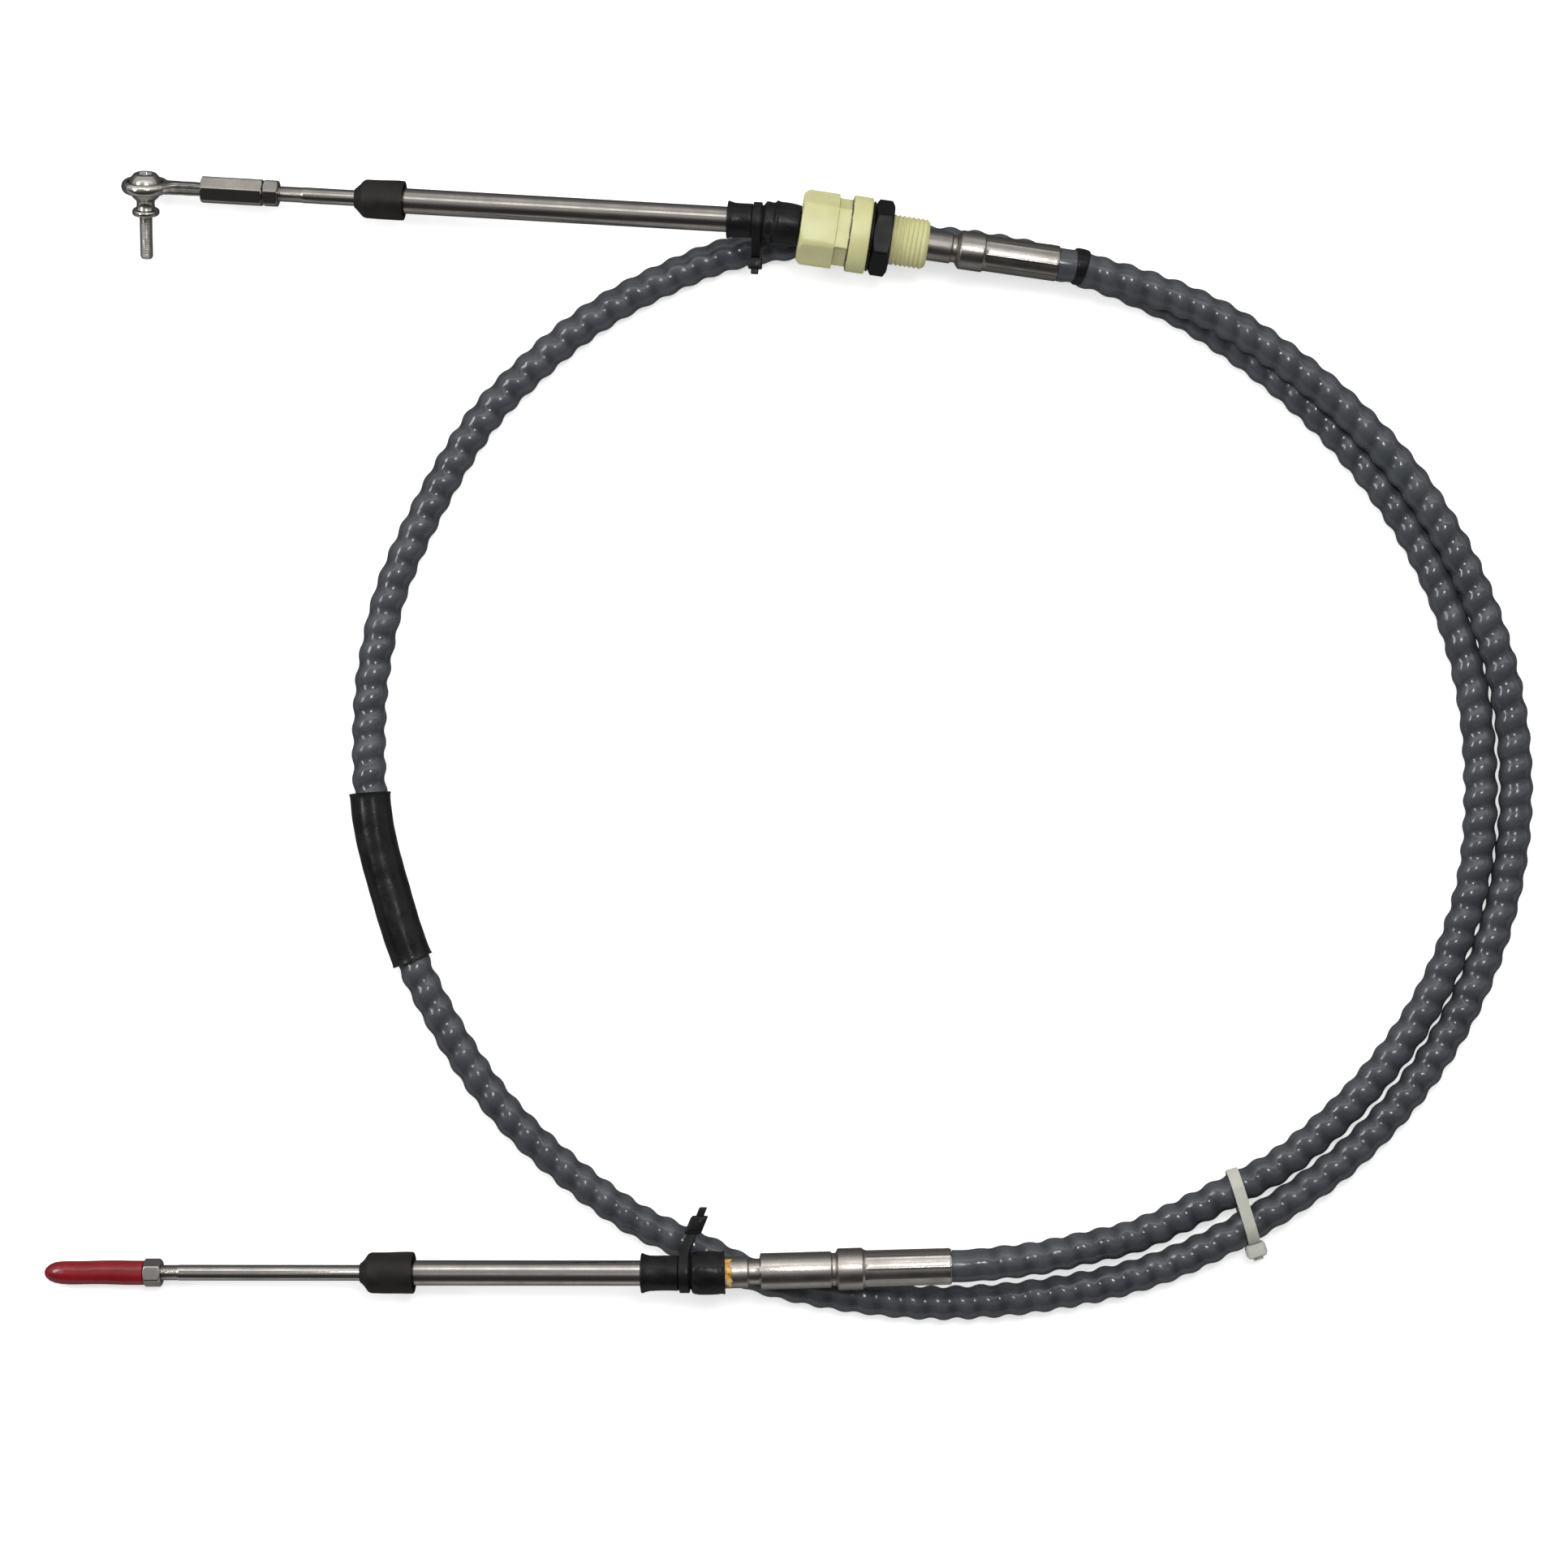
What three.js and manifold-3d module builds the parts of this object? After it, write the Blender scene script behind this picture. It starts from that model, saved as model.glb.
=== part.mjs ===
// Boat steering cable: a coiled push-pull cable with a sliding rod at each end.
// Millimetres, +Z up, as it lies on the floor.
import * as THREE from 'three';
import { mergeVertices } from 'three/addons/utils/BufferGeometryUtils.js';
import Module from 'manifold-3d';

// Clearance between pieces that fit round or against each other
const FIT = 0.3;

// Sliding rods in their guide tubes
const ROD_R = 3.97;
const ROD_BORE_R = ROD_R + FIT;
const TUBE_PLAY = 0.53;
const TUBE_WALL = 1.85;
const TUBE_BORE_R = ROD_R + TUBE_PLAY;
const TUBE_R = TUBE_BORE_R + TUBE_WALL;
const UPPER_TUBE_LENGTH = 200;
const LOWER_TUBE_LENGTH = 160;
const UPPER_ROD_FROM = 50;
const LOWER_ROD_FROM = 96;

// Swivels: the ball on each tube, its socket in the hub's nose and the boot round both
const BALL_STEP = 1.25;
const NOSE_WALL = 1.1;
const BALL_R = TUBE_R + BALL_STEP;
const SOCKET_R = BALL_R + FIT;
const NOSE_R = SOCKET_R + NOSE_WALL;
const BOOT_BULGE = 1.9;
const BOOT_BORE_R = TUBE_R + FIT;
const BOOT_R = NOSE_R + BOOT_BULGE;

// Hubs
const UPPER_NECK_R = 7.7;
const UPPER_NECK_TO = 90.4;
const LOWER_NECK_R = 8.0;
const LOWER_NECK_TO = 24.2;
const LOWER_BODY_R = 9.1;
const LOWER_BODY_TO = 66.0;
const HUB_BORE_R = 3.2;

// Hull fitting on the upper hub, from its collar to the end of its barrel
const FITTING_BORE_R = UPPER_NECK_R + FIT;
const COLLAR_FROM = 14.6;
const COLLAR_LENGTH = 24.4;
const COLLAR_TO = COLLAR_FROM + COLLAR_LENGTH;
const COLLAR_STEP = 6.4;
const COLLAR_AF = 33.6;
const COLLAR_STEP_AF = 32.2;
const COLLAR_BORE_R = BOOT_R + 0.5;
const FLANGE_R = 18.95;
const FLANGE_THICK = 9.8;
const FLANGE_FROM = COLLAR_TO + FIT;
const FLANGE_TO = FLANGE_FROM + FLANGE_THICK;
const BARREL_R = 12.1;
const BARREL_TO = FLANGE_FROM + 39.3;
const RIDGE_PITCH = 2.3;
const WASHER_R = 17.6;
const WASHER_THICK = 1.1;
const WASHER_FROM = FLANGE_TO + 0.2;
const WASHER_TO = WASHER_FROM + WASHER_THICK;
const HULL_NUT_AF = 33.4;
const HULL_NUT_THICK = 9.4;
const HULL_NUT_FROM = WASHER_TO + FIT;
const HULL_NUT_TO = HULL_NUT_FROM + HULL_NUT_THICK;
const BARREL_BORE_R = BARREL_R + FIT;

// Coupler, jam nut and eye on the upper rod
const UPPER_ROD_REACH = 55.1;
const COUPLER_LENGTH = 31.1;
const COUPLER_AF = 12.6;
const COUPLER_FROM = UPPER_TUBE_LENGTH + UPPER_ROD_REACH;
const COUPLER_TO = COUPLER_FROM + COUPLER_LENGTH;
const UPPER_NUT_AF = 12.4;
const UPPER_NUT_THICK = 7.6;
const UPPER_NUT_TO = COUPLER_FROM - FIT;
const SHANK_LENGTH = 28.4;
const SHANK_GAP = 0.24271;
const EYE_AT = COUPLER_TO + SHANK_GAP + SHANK_LENGTH;
const EYE_BALL_R = 8.5;
const EYE_SEAT_R = EYE_BALL_R + FIT;
const EYE_R = EYE_SEAT_R + 3.0;
const STUD_R = 3.3;
const STUD_FLANGE_R = 6.8;
const STUD_TILT = 23 * Math.PI / 180;

// Jam nut and red cap on the lower rod
const LOWER_ROD_REACH = 110.9;
const LOWER_NUT_AF = 12.7;
const LOWER_NUT_THICK = 9.0;
const LOWER_NUT_FROM = LOWER_TUBE_LENGTH + LOWER_ROD_REACH;
const LOWER_NUT_TO = LOWER_NUT_FROM + LOWER_NUT_THICK;
const RED_CAP_WALL = 1.73;
const RED_CAP_LENGTH = 50.63233;
const RED_CAP_FROM = LOWER_NUT_TO + FIT;
const RED_CAP_TO = RED_CAP_FROM + RED_CAP_LENGTH;

// Hose
const HOSE_R = 7.9;
const HOSE_SIDES = 10;
const HOSE_STEPS = 80;

// Points on the four straight axes: each swivel, the eye or tip of its rod, and its hub's hose end
const UPPER_PIVOT = [110.8, 253.8, 36.8];
const UPPER_EYE = [-202.8, 274.2, 17.7];
const UPPER_HUB_END = [253.7, 233.6, 31.8];
const LOWER_PIVOT = [74.7, -269.5, 27.2];
const LOWER_TIP = [-255.4, -271.6, 5.3];
const LOWER_HUB_END = [200.8, -266.3, 25.0];

// Places of the pieces that go round the hose
const SLEEVE_ENDS = [[-92.5, -30.0], [-70.9, -115.3]];
const BAND_AT = [264.0, 232.2];
const BUNDLE_TIE_AT = [350.7, -247.0, 10.3];
const BUNDLE_TIE_TO = [345.0, -228.5, 10.3];

// Centreline of the hose, from the upper hub to the lower hub
const HOSE_POINTS = [
  [254, 233.56, 31.79], [259.64, 232.76, 31.59], [264.4, 232.1, 30.9],
  [275.1, 228.9, 29], [299.2, 222.2, 25.6], [325.3, 212.4, 24], [350.2, 199, 22.6],
  [395.5, 164.9, 20.6], [435.3, 121.4, 17.8], [464.5, 69.6, 15.4], [481.7, 11.7, 12.6],
  [484.4, -49.9, 8.8], [471.2, -109.6, 8.1], [443.7, -163.9, 8.1], [404.4, -209.6, 8.3],
  [354.8, -245, 10.3], [303.9, -269.7, 8.1], [248.4, -282.4, 8.1], [195.7, -286.5, 8.1],
  [154.8, -283.4, 8.1], [114, -275.8, 8.1], [95.2, -269.7, 8.1], [76.4, -260.3, 8.1],
  [38.8, -242.3, 8.1], [-9.4, -204.3, 8.1], [-36.3, -173.3, 8.3], [-66.8, -120.1, 10.5],
  [-80.2, -81.3, 10.7], [-89.6, -41.3, 10.7], [-91.2, 9.7, 8.6], [-87.8, 40.8, 8.1],
  [-77.2, 80.4, 8.1], [-38.4, 152.7, 8.1], [-10.2, 183.3, 8.1], [21.7, 209.1, 8.1],
  [57.6, 228.7, 8.1], [96, 242.8, 8.1], [155.7, 249.1, 8.1], [196.5, 246.6, 8.1],
  [233.3, 241.3, 8.1], [273.7, 231.1, 8.1], [299, 220.9, 8.1], [323.8, 208.5, 8.1],
  [368.3, 176.6, 8.1], [407.5, 137.4, 8.1], [439.2, 90.8, 8.1], [460, 37.7, 8.1],
  [467.6, -18.9, 8.1], [463.5, -76.5, 8.1], [443.5, -130.6, 8.1], [410.6, -177.4, 8.1],
  [369, -215.3, 8.6], [343.8, -228.9, 10.3], [296.1, -252, 8.9], [269.7, -258.1, 13.5],
  [244.1, -262.8, 19.3], [217.9, -265.4, 23.6], [206.8, -266.15, 24.9],
  [201.1, -266.29, 24.99],
];

const wasm = await Module();
wasm.setup();

// Frames and geometry helpers
function vec(p) {
  return new THREE.Vector3(p[0], p[1], p[2]);
}

// Local Y runs from the first point to the second, local Z is the side nearest to up
function axisFrame(from, to) {
  const u = vec(to).sub(vec(from)).normalize();
  const w = new THREE.Vector3(0, 0, 1);
  w.addScaledVector(u, -w.dot(u)).normalize();
  const side = new THREE.Vector3().crossVectors(u, w);
  return new THREE.Matrix4().makeBasis(side, u, w).setPosition(vec(from));
}

function signedVolume(geometry) {
  const p = geometry.attributes.position;
  const index = geometry.index.array;
  const a = new THREE.Vector3();
  const b = new THREE.Vector3();
  const c = new THREE.Vector3();
  let sum = 0;
  for (let i = 0; i < index.length; i += 3) {
    a.fromBufferAttribute(p, index[i]);
    b.fromBufferAttribute(p, index[i + 1]);
    c.fromBufferAttribute(p, index[i + 2]);
    sum += a.dot(b.cross(c));
  }
  return sum / 6;
}

// Weld the corners, drop empty triangles and turn every face outward
function tidy(source) {
  const plain = source.clone();
  plain.deleteAttribute('normal');
  plain.deleteAttribute('uv');
  const merged = mergeVertices(plain, 1e-4);
  const index = merged.index.array;
  const kept = [];
  for (let i = 0; i < index.length; i += 3) {
    const [a, b, c] = [index[i], index[i + 1], index[i + 2]];
    if (a !== b && b !== c && c !== a) kept.push(a, b, c);
  }
  merged.setIndex(kept);
  if (signedVolume(merged) < 0) {
    for (let i = 0; i < kept.length; i += 3) {
      [kept[i], kept[i + 1]] = [kept[i + 1], kept[i]];
    }
    merged.setIndex(kept);
  }
  return merged;
}

function toSolid(geometry) {
  const g = tidy(geometry);
  return new wasm.Manifold(new wasm.Mesh({
    numProp: 3,
    vertProperties: new Float32Array(g.attributes.position.array),
    triVerts: new Uint32Array(g.index.array),
  }));
}

function fromSolid(solid) {
  const mesh = solid.getMesh();
  const g = new THREE.BufferGeometry();
  g.setAttribute('position', new THREE.BufferAttribute(new Float32Array(mesh.vertProperties), 3));
  g.setIndex(new THREE.BufferAttribute(new Uint32Array(mesh.triVerts), 1));
  return g;
}

// Turn a closed outline of [radius, station] pairs about local Y
function turned(outline, sides = 24) {
  const points = outline.map(([r, s]) => new THREE.Vector2(r, s));
  const onAxis = outline[0][0] === 0 && outline[outline.length - 1][0] === 0;
  if (!onAxis) points.push(points[0].clone());
  return tidy(new THREE.LatheGeometry(points, sides));
}

// Points on a circle in the outline's plane, centred on the axis at a station
function arc(radius, station, fromDeg, toDeg, steps) {
  const out = [];
  for (let i = 0; i <= steps; i++) {
    const a = (fromDeg + (toDeg - fromDeg) * i / steps) * Math.PI / 180;
    out.push([radius * Math.cos(a), station + radius * Math.sin(a)]);
  }
  return out;
}

function hexPrism(acrossFlats, from, to, turnDeg) {
  const r = acrossFlats / Math.sqrt(3);
  const g = new THREE.CylinderGeometry(r, r, to - from, 6);
  g.rotateY(turnDeg * Math.PI / 180);
  g.translate(0, (from + to) / 2, 0);
  return g;
}

// A chamfered hexagon nut with a round bore
function hexNut(acrossFlats, from, to, turnDeg, boreR, chamfer) {
  const corner = acrossFlats / Math.sqrt(3);
  const flat = acrossFlats / 2 - 0.1;
  const drop = corner - flat;
  const limit = turned([
    [0, from], [flat, from], [corner, from + drop * chamfer],
    [corner, to - drop * chamfer], [flat, to], [0, to],
  ], 36);
  const bore = turned([[0, from - 1], [boreR, from - 1], [boreR, to + 1], [0, to + 1]], 24);
  const body = toSolid(hexPrism(acrossFlats, from, to, turnDeg)).intersect(toSolid(limit));
  return fromSolid(body.subtract(toSolid(bore)));
}

function box(x0, x1, y0, y1, z0, z1) {
  const g = new THREE.BoxGeometry(x1 - x0, y1 - y0, z1 - z0);
  g.translate((x0 + x1) / 2, (y0 + y1) / 2, (z0 + z1) / 2);
  return g;
}

// The outline round two circles in the X-Z plane
function twoCircles(a, b, steps) {
  const dx = b.x - a.x;
  const dz = b.z - a.z;
  const along = Math.atan2(dz, dx);
  const tilt = Math.acos((a.r - b.r) / Math.hypot(dx, dz));
  const out = [];
  for (let i = 0; i <= steps; i++) {
    const t = along + tilt + (2 * Math.PI - 2 * tilt) * i / steps;
    out.push(new THREE.Vector2(a.x + a.r * Math.cos(t), a.z + a.r * Math.sin(t)));
  }
  const last = out[out.length - 1];
  const far = [];
  for (let i = 0; i <= steps / 2; i++) {
    const t = along - tilt + 2 * tilt * i / (steps / 2);
    far.push(new THREE.Vector2(b.x + b.r * Math.cos(t), b.z + b.r * Math.sin(t)));
  }
  for (let k = 1; k < 5; k++) out.push(last.clone().lerp(far[0], k / 5));
  out.push(...far);
  for (let k = 1; k < 5; k++) out.push(far[far.length - 1].clone().lerp(out[0], k / 5));
  return out;
}

// A flat strap round two circles, centred on a station along local Y
function strap(a, b, thick, width, station) {
  const shape = new THREE.Shape(twoCircles(
    { ...a, r: a.r + thick }, { ...b, r: b.r + thick }, 20));
  shape.holes.push(new THREE.Path(twoCircles(a, b, 20)));
  const g = new THREE.ExtrudeGeometry(shape, { depth: width, bevelEnabled: false });
  g.rotateX(Math.PI / 2);
  g.translate(0, station + width / 2, 0);
  return g;
}

const group = new THREE.Group();
group.name = 'boat_steering_cable';

const MATERIALS = {
  steel: new THREE.MeshStandardMaterial({ color: 0xb9b6b1, metalness: 0.9, roughness: 0.3 }),
  satin: new THREE.MeshStandardMaterial({ color: 0x9c9791, metalness: 0.9, roughness: 0.45 }),
  pvc: new THREE.MeshStandardMaterial({ color: 0x484c52, roughness: 0.3 }),
  rubber: new THREE.MeshStandardMaterial({ color: 0x1c1c1e, roughness: 0.6 }),
  black: new THREE.MeshStandardMaterial({ color: 0x232323, roughness: 0.5 }),
  cream: new THREE.MeshStandardMaterial({ color: 0xded9a0, roughness: 0.5 }),
  white: new THREE.MeshStandardMaterial({ color: 0xbfc0b4, roughness: 0.5 }),
  red: new THREE.MeshStandardMaterial({ color: 0x96141f, roughness: 0.35 }),
};

function add(name, geometry, material, frame) {
  const g = tidy(geometry);
  if (frame) g.applyMatrix4(frame);
  g.computeVertexNormals();
  const mesh = new THREE.Mesh(g, material);
  mesh.name = name;
  group.add(mesh);
}

const upperTubeFrame = axisFrame(UPPER_PIVOT, UPPER_EYE);
const upperHubFrame = axisFrame(UPPER_PIVOT, UPPER_HUB_END);
const lowerTubeFrame = axisFrame(LOWER_PIVOT, LOWER_TIP);
const lowerHubFrame = axisFrame(LOWER_PIVOT, LOWER_HUB_END);
const upperHubLength = vec(UPPER_HUB_END).distanceTo(vec(UPPER_PIVOT));
const lowerHubLength = vec(LOWER_HUB_END).distanceTo(vec(LOWER_PIVOT));

// Guide tube with a swivel ball at station 0 and a plain mouth at the far end
function guideTube(end) {
  const edge = Math.asin(TUBE_R / BALL_R) * 180 / Math.PI;
  return turned([
    [TUBE_BORE_R, -5.4],
    ...arc(BALL_R, 0, -45, 90 - edge, 8),
    [TUBE_R, end - 0.5],
    [TUBE_R - 0.5, end],
    [TUBE_BORE_R, end],
  ]);
}

function rod(from, to) {
  return turned([
    [0, from], [ROD_R - 0.4, from], [ROD_R, from + 0.6],
    [ROD_R, to - 0.8], [ROD_R - 0.7, to], [0, to],
  ]);
}

// Wiper cap: a nose round the rod and a cup over the tube's mouth
function wiperCap(tubeEnd, cup, step, noseLength, wall) {
  const outerR = TUBE_R + wall;
  const mouth = tubeEnd - cup;
  const shoulder = tubeEnd + step;
  const nose = shoulder + noseLength;
  return turned([
    [outerR, mouth], [outerR + 0.1, mouth + 3], [outerR - 0.2, shoulder - 1.6],
    [outerR - 0.8, shoulder - 0.2], [TUBE_R + 0.25, shoulder + 2.0],
    [ROD_BORE_R + 0.93, nose - 0.6], [ROD_BORE_R + 0.63, nose],
    [ROD_BORE_R, nose], [ROD_BORE_R, tubeEnd + FIT], [TUBE_R + FIT, tubeEnd + FIT],
    [TUBE_R + FIT, mouth + 4.5], [outerR - 1.5, mouth + 3.0], [outerR - 1.2, mouth],
  ]);
}

// Socket nose for the tube's ball, from its lip to where the hub's bore starts
const SOCKET = [
  ...arc(SOCKET_R, 0, 54, -19.2, 8),
];

function upperHub() {
  const end = upperHubLength;
  const crimpR = HOSE_R + 0.9;
  return turned([
    [HUB_BORE_R, end], [HUB_BORE_R, 9.0], ...SOCKET,
    [NOSE_R - 0.1, -2.6], [NOSE_R, -2.2], [NOSE_R, 8.0],
    [UPPER_NECK_R, 9.6], [UPPER_NECK_R, UPPER_NECK_TO],
    [UPPER_NECK_R - 0.8, UPPER_NECK_TO + 0.5], [UPPER_NECK_R - 0.8, UPPER_NECK_TO + 2.8],
    [crimpR + 0.9, UPPER_NECK_TO + 4.4], [crimpR + 0.9, UPPER_NECK_TO + 16.2],
    [crimpR, UPPER_NECK_TO + 16.8], [crimpR, end - 0.5], [crimpR - 0.5, end],
  ]);
}

function lowerHub() {
  const end = lowerHubLength;
  const crimpR = HOSE_R + 1.4;
  return turned([
    [HUB_BORE_R, end], [HUB_BORE_R, 9.0], ...SOCKET,
    [NOSE_R - 0.1, -2.6], [NOSE_R, -2.2], [NOSE_R, 8.0],
    [LOWER_NECK_R, 9.6], [LOWER_NECK_R, LOWER_NECK_TO],
    [LOWER_NECK_R - 0.4, LOWER_NECK_TO + 0.5], [LOWER_NECK_R - 1.5, LOWER_NECK_TO + 0.7],
    [LOWER_NECK_R - 1.5, LOWER_NECK_TO + 6.2], [LOWER_BODY_R, LOWER_NECK_TO + 7.0],
    [LOWER_BODY_R, LOWER_BODY_TO], [LOWER_BODY_R - 0.8, LOWER_BODY_TO + 0.6],
    [LOWER_BODY_R - 0.8, LOWER_BODY_TO + 2.4],
    [crimpR + 1.2, LOWER_BODY_TO + 3.6], [crimpR + 1.2, LOWER_BODY_TO + 15.6],
    [crimpR, LOWER_BODY_TO + 16.8], [crimpR, end - 0.5], [crimpR - 0.5, end],
  ]);
}

// Hull fitting, round the upper hub
function hullBody() {
  const root = BARREL_R - 0.7;
  const crest = BARREL_R + 0.15;
  const ridges = [];
  for (let s = HULL_NUT_TO + 0.9; s < BARREL_TO - 1.6; s += RIDGE_PITCH) {
    ridges.push([root, s], [crest, s + 0.75], [crest, s + 1.2], [root, s + 1.95]);
  }
  return turned([
    [FITTING_BORE_R, FLANGE_FROM], [FLANGE_R - 0.35, FLANGE_FROM],
    [FLANGE_R, FLANGE_FROM + 0.4], [FLANGE_R, FLANGE_TO - 0.4],
    [FLANGE_R - 0.35, FLANGE_TO], [BARREL_R, FLANGE_TO], [BARREL_R, HULL_NUT_TO + 0.5],
    ...ridges, [BARREL_R - 0.5, BARREL_TO - 1.0], [BARREL_R - 1.5, BARREL_TO],
    [FITTING_BORE_R, BARREL_TO],
  ], 40);
}

function hullCollar() {
  const from = COLLAR_FROM;
  const to = COLLAR_TO;
  const step = to - COLLAR_STEP;
  const wide = toSolid(hexPrism(COLLAR_AF, from, step, 30)).intersect(toSolid(turned([
    [0, from], [COLLAR_AF / 2 - 0.4, from], [COLLAR_AF / 2 + 1.9, from + 2.4],
    [COLLAR_AF / 2 + 1.9, step], [0, step],
  ], 40)));
  const inner = step - 0.6;
  const stepped = toSolid(hexPrism(COLLAR_STEP_AF, inner, to, 30)).intersect(toSolid(turned([
    [0, inner], [COLLAR_STEP_AF / 2 + 2.0, inner], [COLLAR_STEP_AF / 2 + 2.0, to], [0, to],
  ], 40)));
  const bore = turned([
    [0, from - 1.6], [COLLAR_BORE_R, from - 1.6], [COLLAR_BORE_R, from + 5.9],
    [FITTING_BORE_R, from + 7.4], [FITTING_BORE_R, to + 1], [0, to + 1],
  ], 32);
  return fromSolid(wide.add(stepped).subtract(toSolid(bore)));
}

function hullWasher() {
  return turned([
    [BARREL_BORE_R, WASHER_FROM], [WASHER_R - 0.4, WASHER_FROM],
    [WASHER_R, WASHER_FROM + 0.4], [WASHER_R, WASHER_TO - 0.4],
    [WASHER_R - 0.4, WASHER_TO], [BARREL_BORE_R, WASHER_TO],
  ], 40);
}

// Rubber boot: turned straight, then bent so that each half follows its own axis
function boot(outline, tubeFrame, hubFrame) {
  const fine = [];
  outline.forEach((p, i) => {
    const q = outline[(i + 1) % outline.length];
    const parts = Math.max(1, Math.ceil(Math.abs(q[1] - p[1]) / 3));
    for (let k = 0; k < parts; k++) {
      fine.push([p[0] + (q[0] - p[0]) * k / parts, p[1] + (q[1] - p[1]) * k / parts]);
    }
  });
  const g = turned(fine, 24);
  const p = g.attributes.position;
  for (let i = 0; i < p.count; i++) {
    const [x, s, z] = [p.getX(i), p.getY(i), p.getZ(i)];
    const onTube = new THREE.Vector3(-x, -s, z).applyMatrix4(tubeFrame);
    const onHub = new THREE.Vector3(x, s, z).applyMatrix4(hubFrame);
    const t = THREE.MathUtils.smoothstep(s, -4.6, -3.0);
    onTube.lerp(onHub, t);
    p.setXYZ(i, onTube.x, onTube.y, onTube.z);
  }
  return g;
}

function upperBoot() {
  const r = BOOT_BORE_R;
  const end = UPPER_NECK_R + FIT;
  return boot([
    [r, -21.4], [r + 2.35, -21.6], [r + 2.45, -21.2], [r + 2.35, -19.4],
    [r + 1.75, -18.8], [r + 1.75, -9.4], [r + 1.25, -9.1], [r + 1.25, -3.9],
    [BOOT_R - 0.9, -3.2], [BOOT_R - 0.1, -1.6], [BOOT_R, 8.4], [BOOT_R - 0.6, 12.0],
    [BOOT_R - 0.9, 14.3], [end, 14.3], [end + 0.1, 10.8],
    [NOSE_R + FIT, 9.2], [NOSE_R + 0.4, -3.0], [r + 0.05, -4.6],
  ], upperTubeFrame, upperHubFrame);
}

function lowerBoot() {
  const r = BOOT_BORE_R;
  const end = LOWER_NECK_R + FIT;
  return boot([
    [r, -28.4], [r + 3.25, -28.6], [r + 3.35, -28.0], [r + 2.55, -26.0],
    [r + 2.15, -24.6], [r + 2.15, -10.1], [r + 1.35, -9.7], [r + 1.35, -3.9],
    [BOOT_R - 0.8, -3.2], [BOOT_R, -1.6], [BOOT_R, 9.4], [BOOT_R - 0.3, 11.4],
    [BOOT_R + 0.1, 13.1], [end, 13.1], [end, 10.8],
    [NOSE_R + FIT, 9.2], [NOSE_R + 0.4, -3.0], [r + 0.05, -4.6],
  ], lowerTubeFrame, lowerHubFrame);
}

function upperTie() {
  const ringR = BOOT_BORE_R + 1.55;
  const ring = strap({ x: 0, z: 0, r: ringR }, { x: -15.2, z: -3.2, r: 1.4 }, 1.3, 4.2, 6.8);
  const head = box(-23.6, -17.8, 3.2, 10.4, -5.8, -0.9);
  const tail = box(-26.0, -23.0, 4.7, 8.9, -4.1, -2.6);
  return fromSolid(toSolid(ring).add(toSolid(head)).add(toSolid(tail)));
}

function lowerTie() {
  const ringR = BOOT_BORE_R + 1.95;
  const ring = strap({ x: 0, z: 0, r: ringR }, { x: 17.4, z: -3.6, r: 1.4 }, 1.3, 4.8, 7.0);
  const head = box(19.2, 28.4, 2.4, 11.2, -6.6, -1.2);
  const tail = box(27.8, 32.6, 4.6, 9.0, -4.6, -3.0);
  const whole = tidy(fromSolid(toSolid(ring).add(toSolid(head)).add(toSolid(tail))));
  const p = whole.attributes.position;
  for (let i = 0; i < p.count; i++) {
    p.setY(i, p.getY(i) - 0.42 * Math.max(0, p.getX(i) - 11));
  }
  return whole;
}

// Ball stud: local Y runs from the threaded tip up through the ball's flat top
function ballStud() {
  const top = EYE_BALL_R - 2.15;
  const body = turned([
    [0, -37.2], [STUD_R - 0.6, -37.2], [STUD_R, -36.5], [STUD_R, -14.6],
    [STUD_FLANGE_R - 0.2, -14.6], [STUD_FLANGE_R, -14.3], [STUD_FLANGE_R, -12.0],
    [STUD_FLANGE_R - 0.3, -11.8], [5.2, -11.6], [4.5, -8.8],
    ...arc(EYE_BALL_R, 0, -57, 46.5, 9), [EYE_BALL_R - 2.9, top], [0, top],
  ]);
  const key = hexPrism(6.0, top - 3.45, top + 1.65, 0);
  return fromSolid(toSolid(body).subtract(toSolid(key)));
}

const ballFrame = (() => {
  const x = new THREE.Vector3();
  const y = new THREE.Vector3();
  const z = new THREE.Vector3();
  upperTubeFrame.extractBasis(x, y, z);
  const up = x.clone().multiplyScalar(Math.cos(STUD_TILT));
  up.addScaledVector(z, Math.sin(STUD_TILT));
  const along = y.clone();
  const third = new THREE.Vector3().crossVectors(along, up);
  const centre = vec(UPPER_PIVOT).addScaledVector(y, EYE_AT);
  return new THREE.Matrix4().makeBasis(along, up, third).setPosition(centre);
})();

// Rod end: an eye round the ball, a flat shank and a threaded stub in the coupler
function rodEnd() {
  const eye = turned([
    [0, -4.8], [EYE_R - 1.2, -4.8], [EYE_R, -3.4], [EYE_R, 3.4], [EYE_R - 1.2, 4.8], [0, 4.8],
  ], 32);
  const blade = box(-SHANK_LENGTH, -9.0, -3.2, 3.2, -3.9, 3.9);
  const stub = rod(COUPLER_TO - 10.2, EYE_AT - SHANK_LENGTH + 2.4);
  const stubInBall = stub.clone().applyMatrix4(upperTubeFrame);
  stubInBall.applyMatrix4(ballFrame.clone().invert());
  const seat = new THREE.SphereGeometry(EYE_SEAT_R, 28, 18);
  const whole = toSolid(eye).add(toSolid(blade)).add(toSolid(stubInBall));
  return fromSolid(whole.subtract(toSolid(seat)));
}

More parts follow.
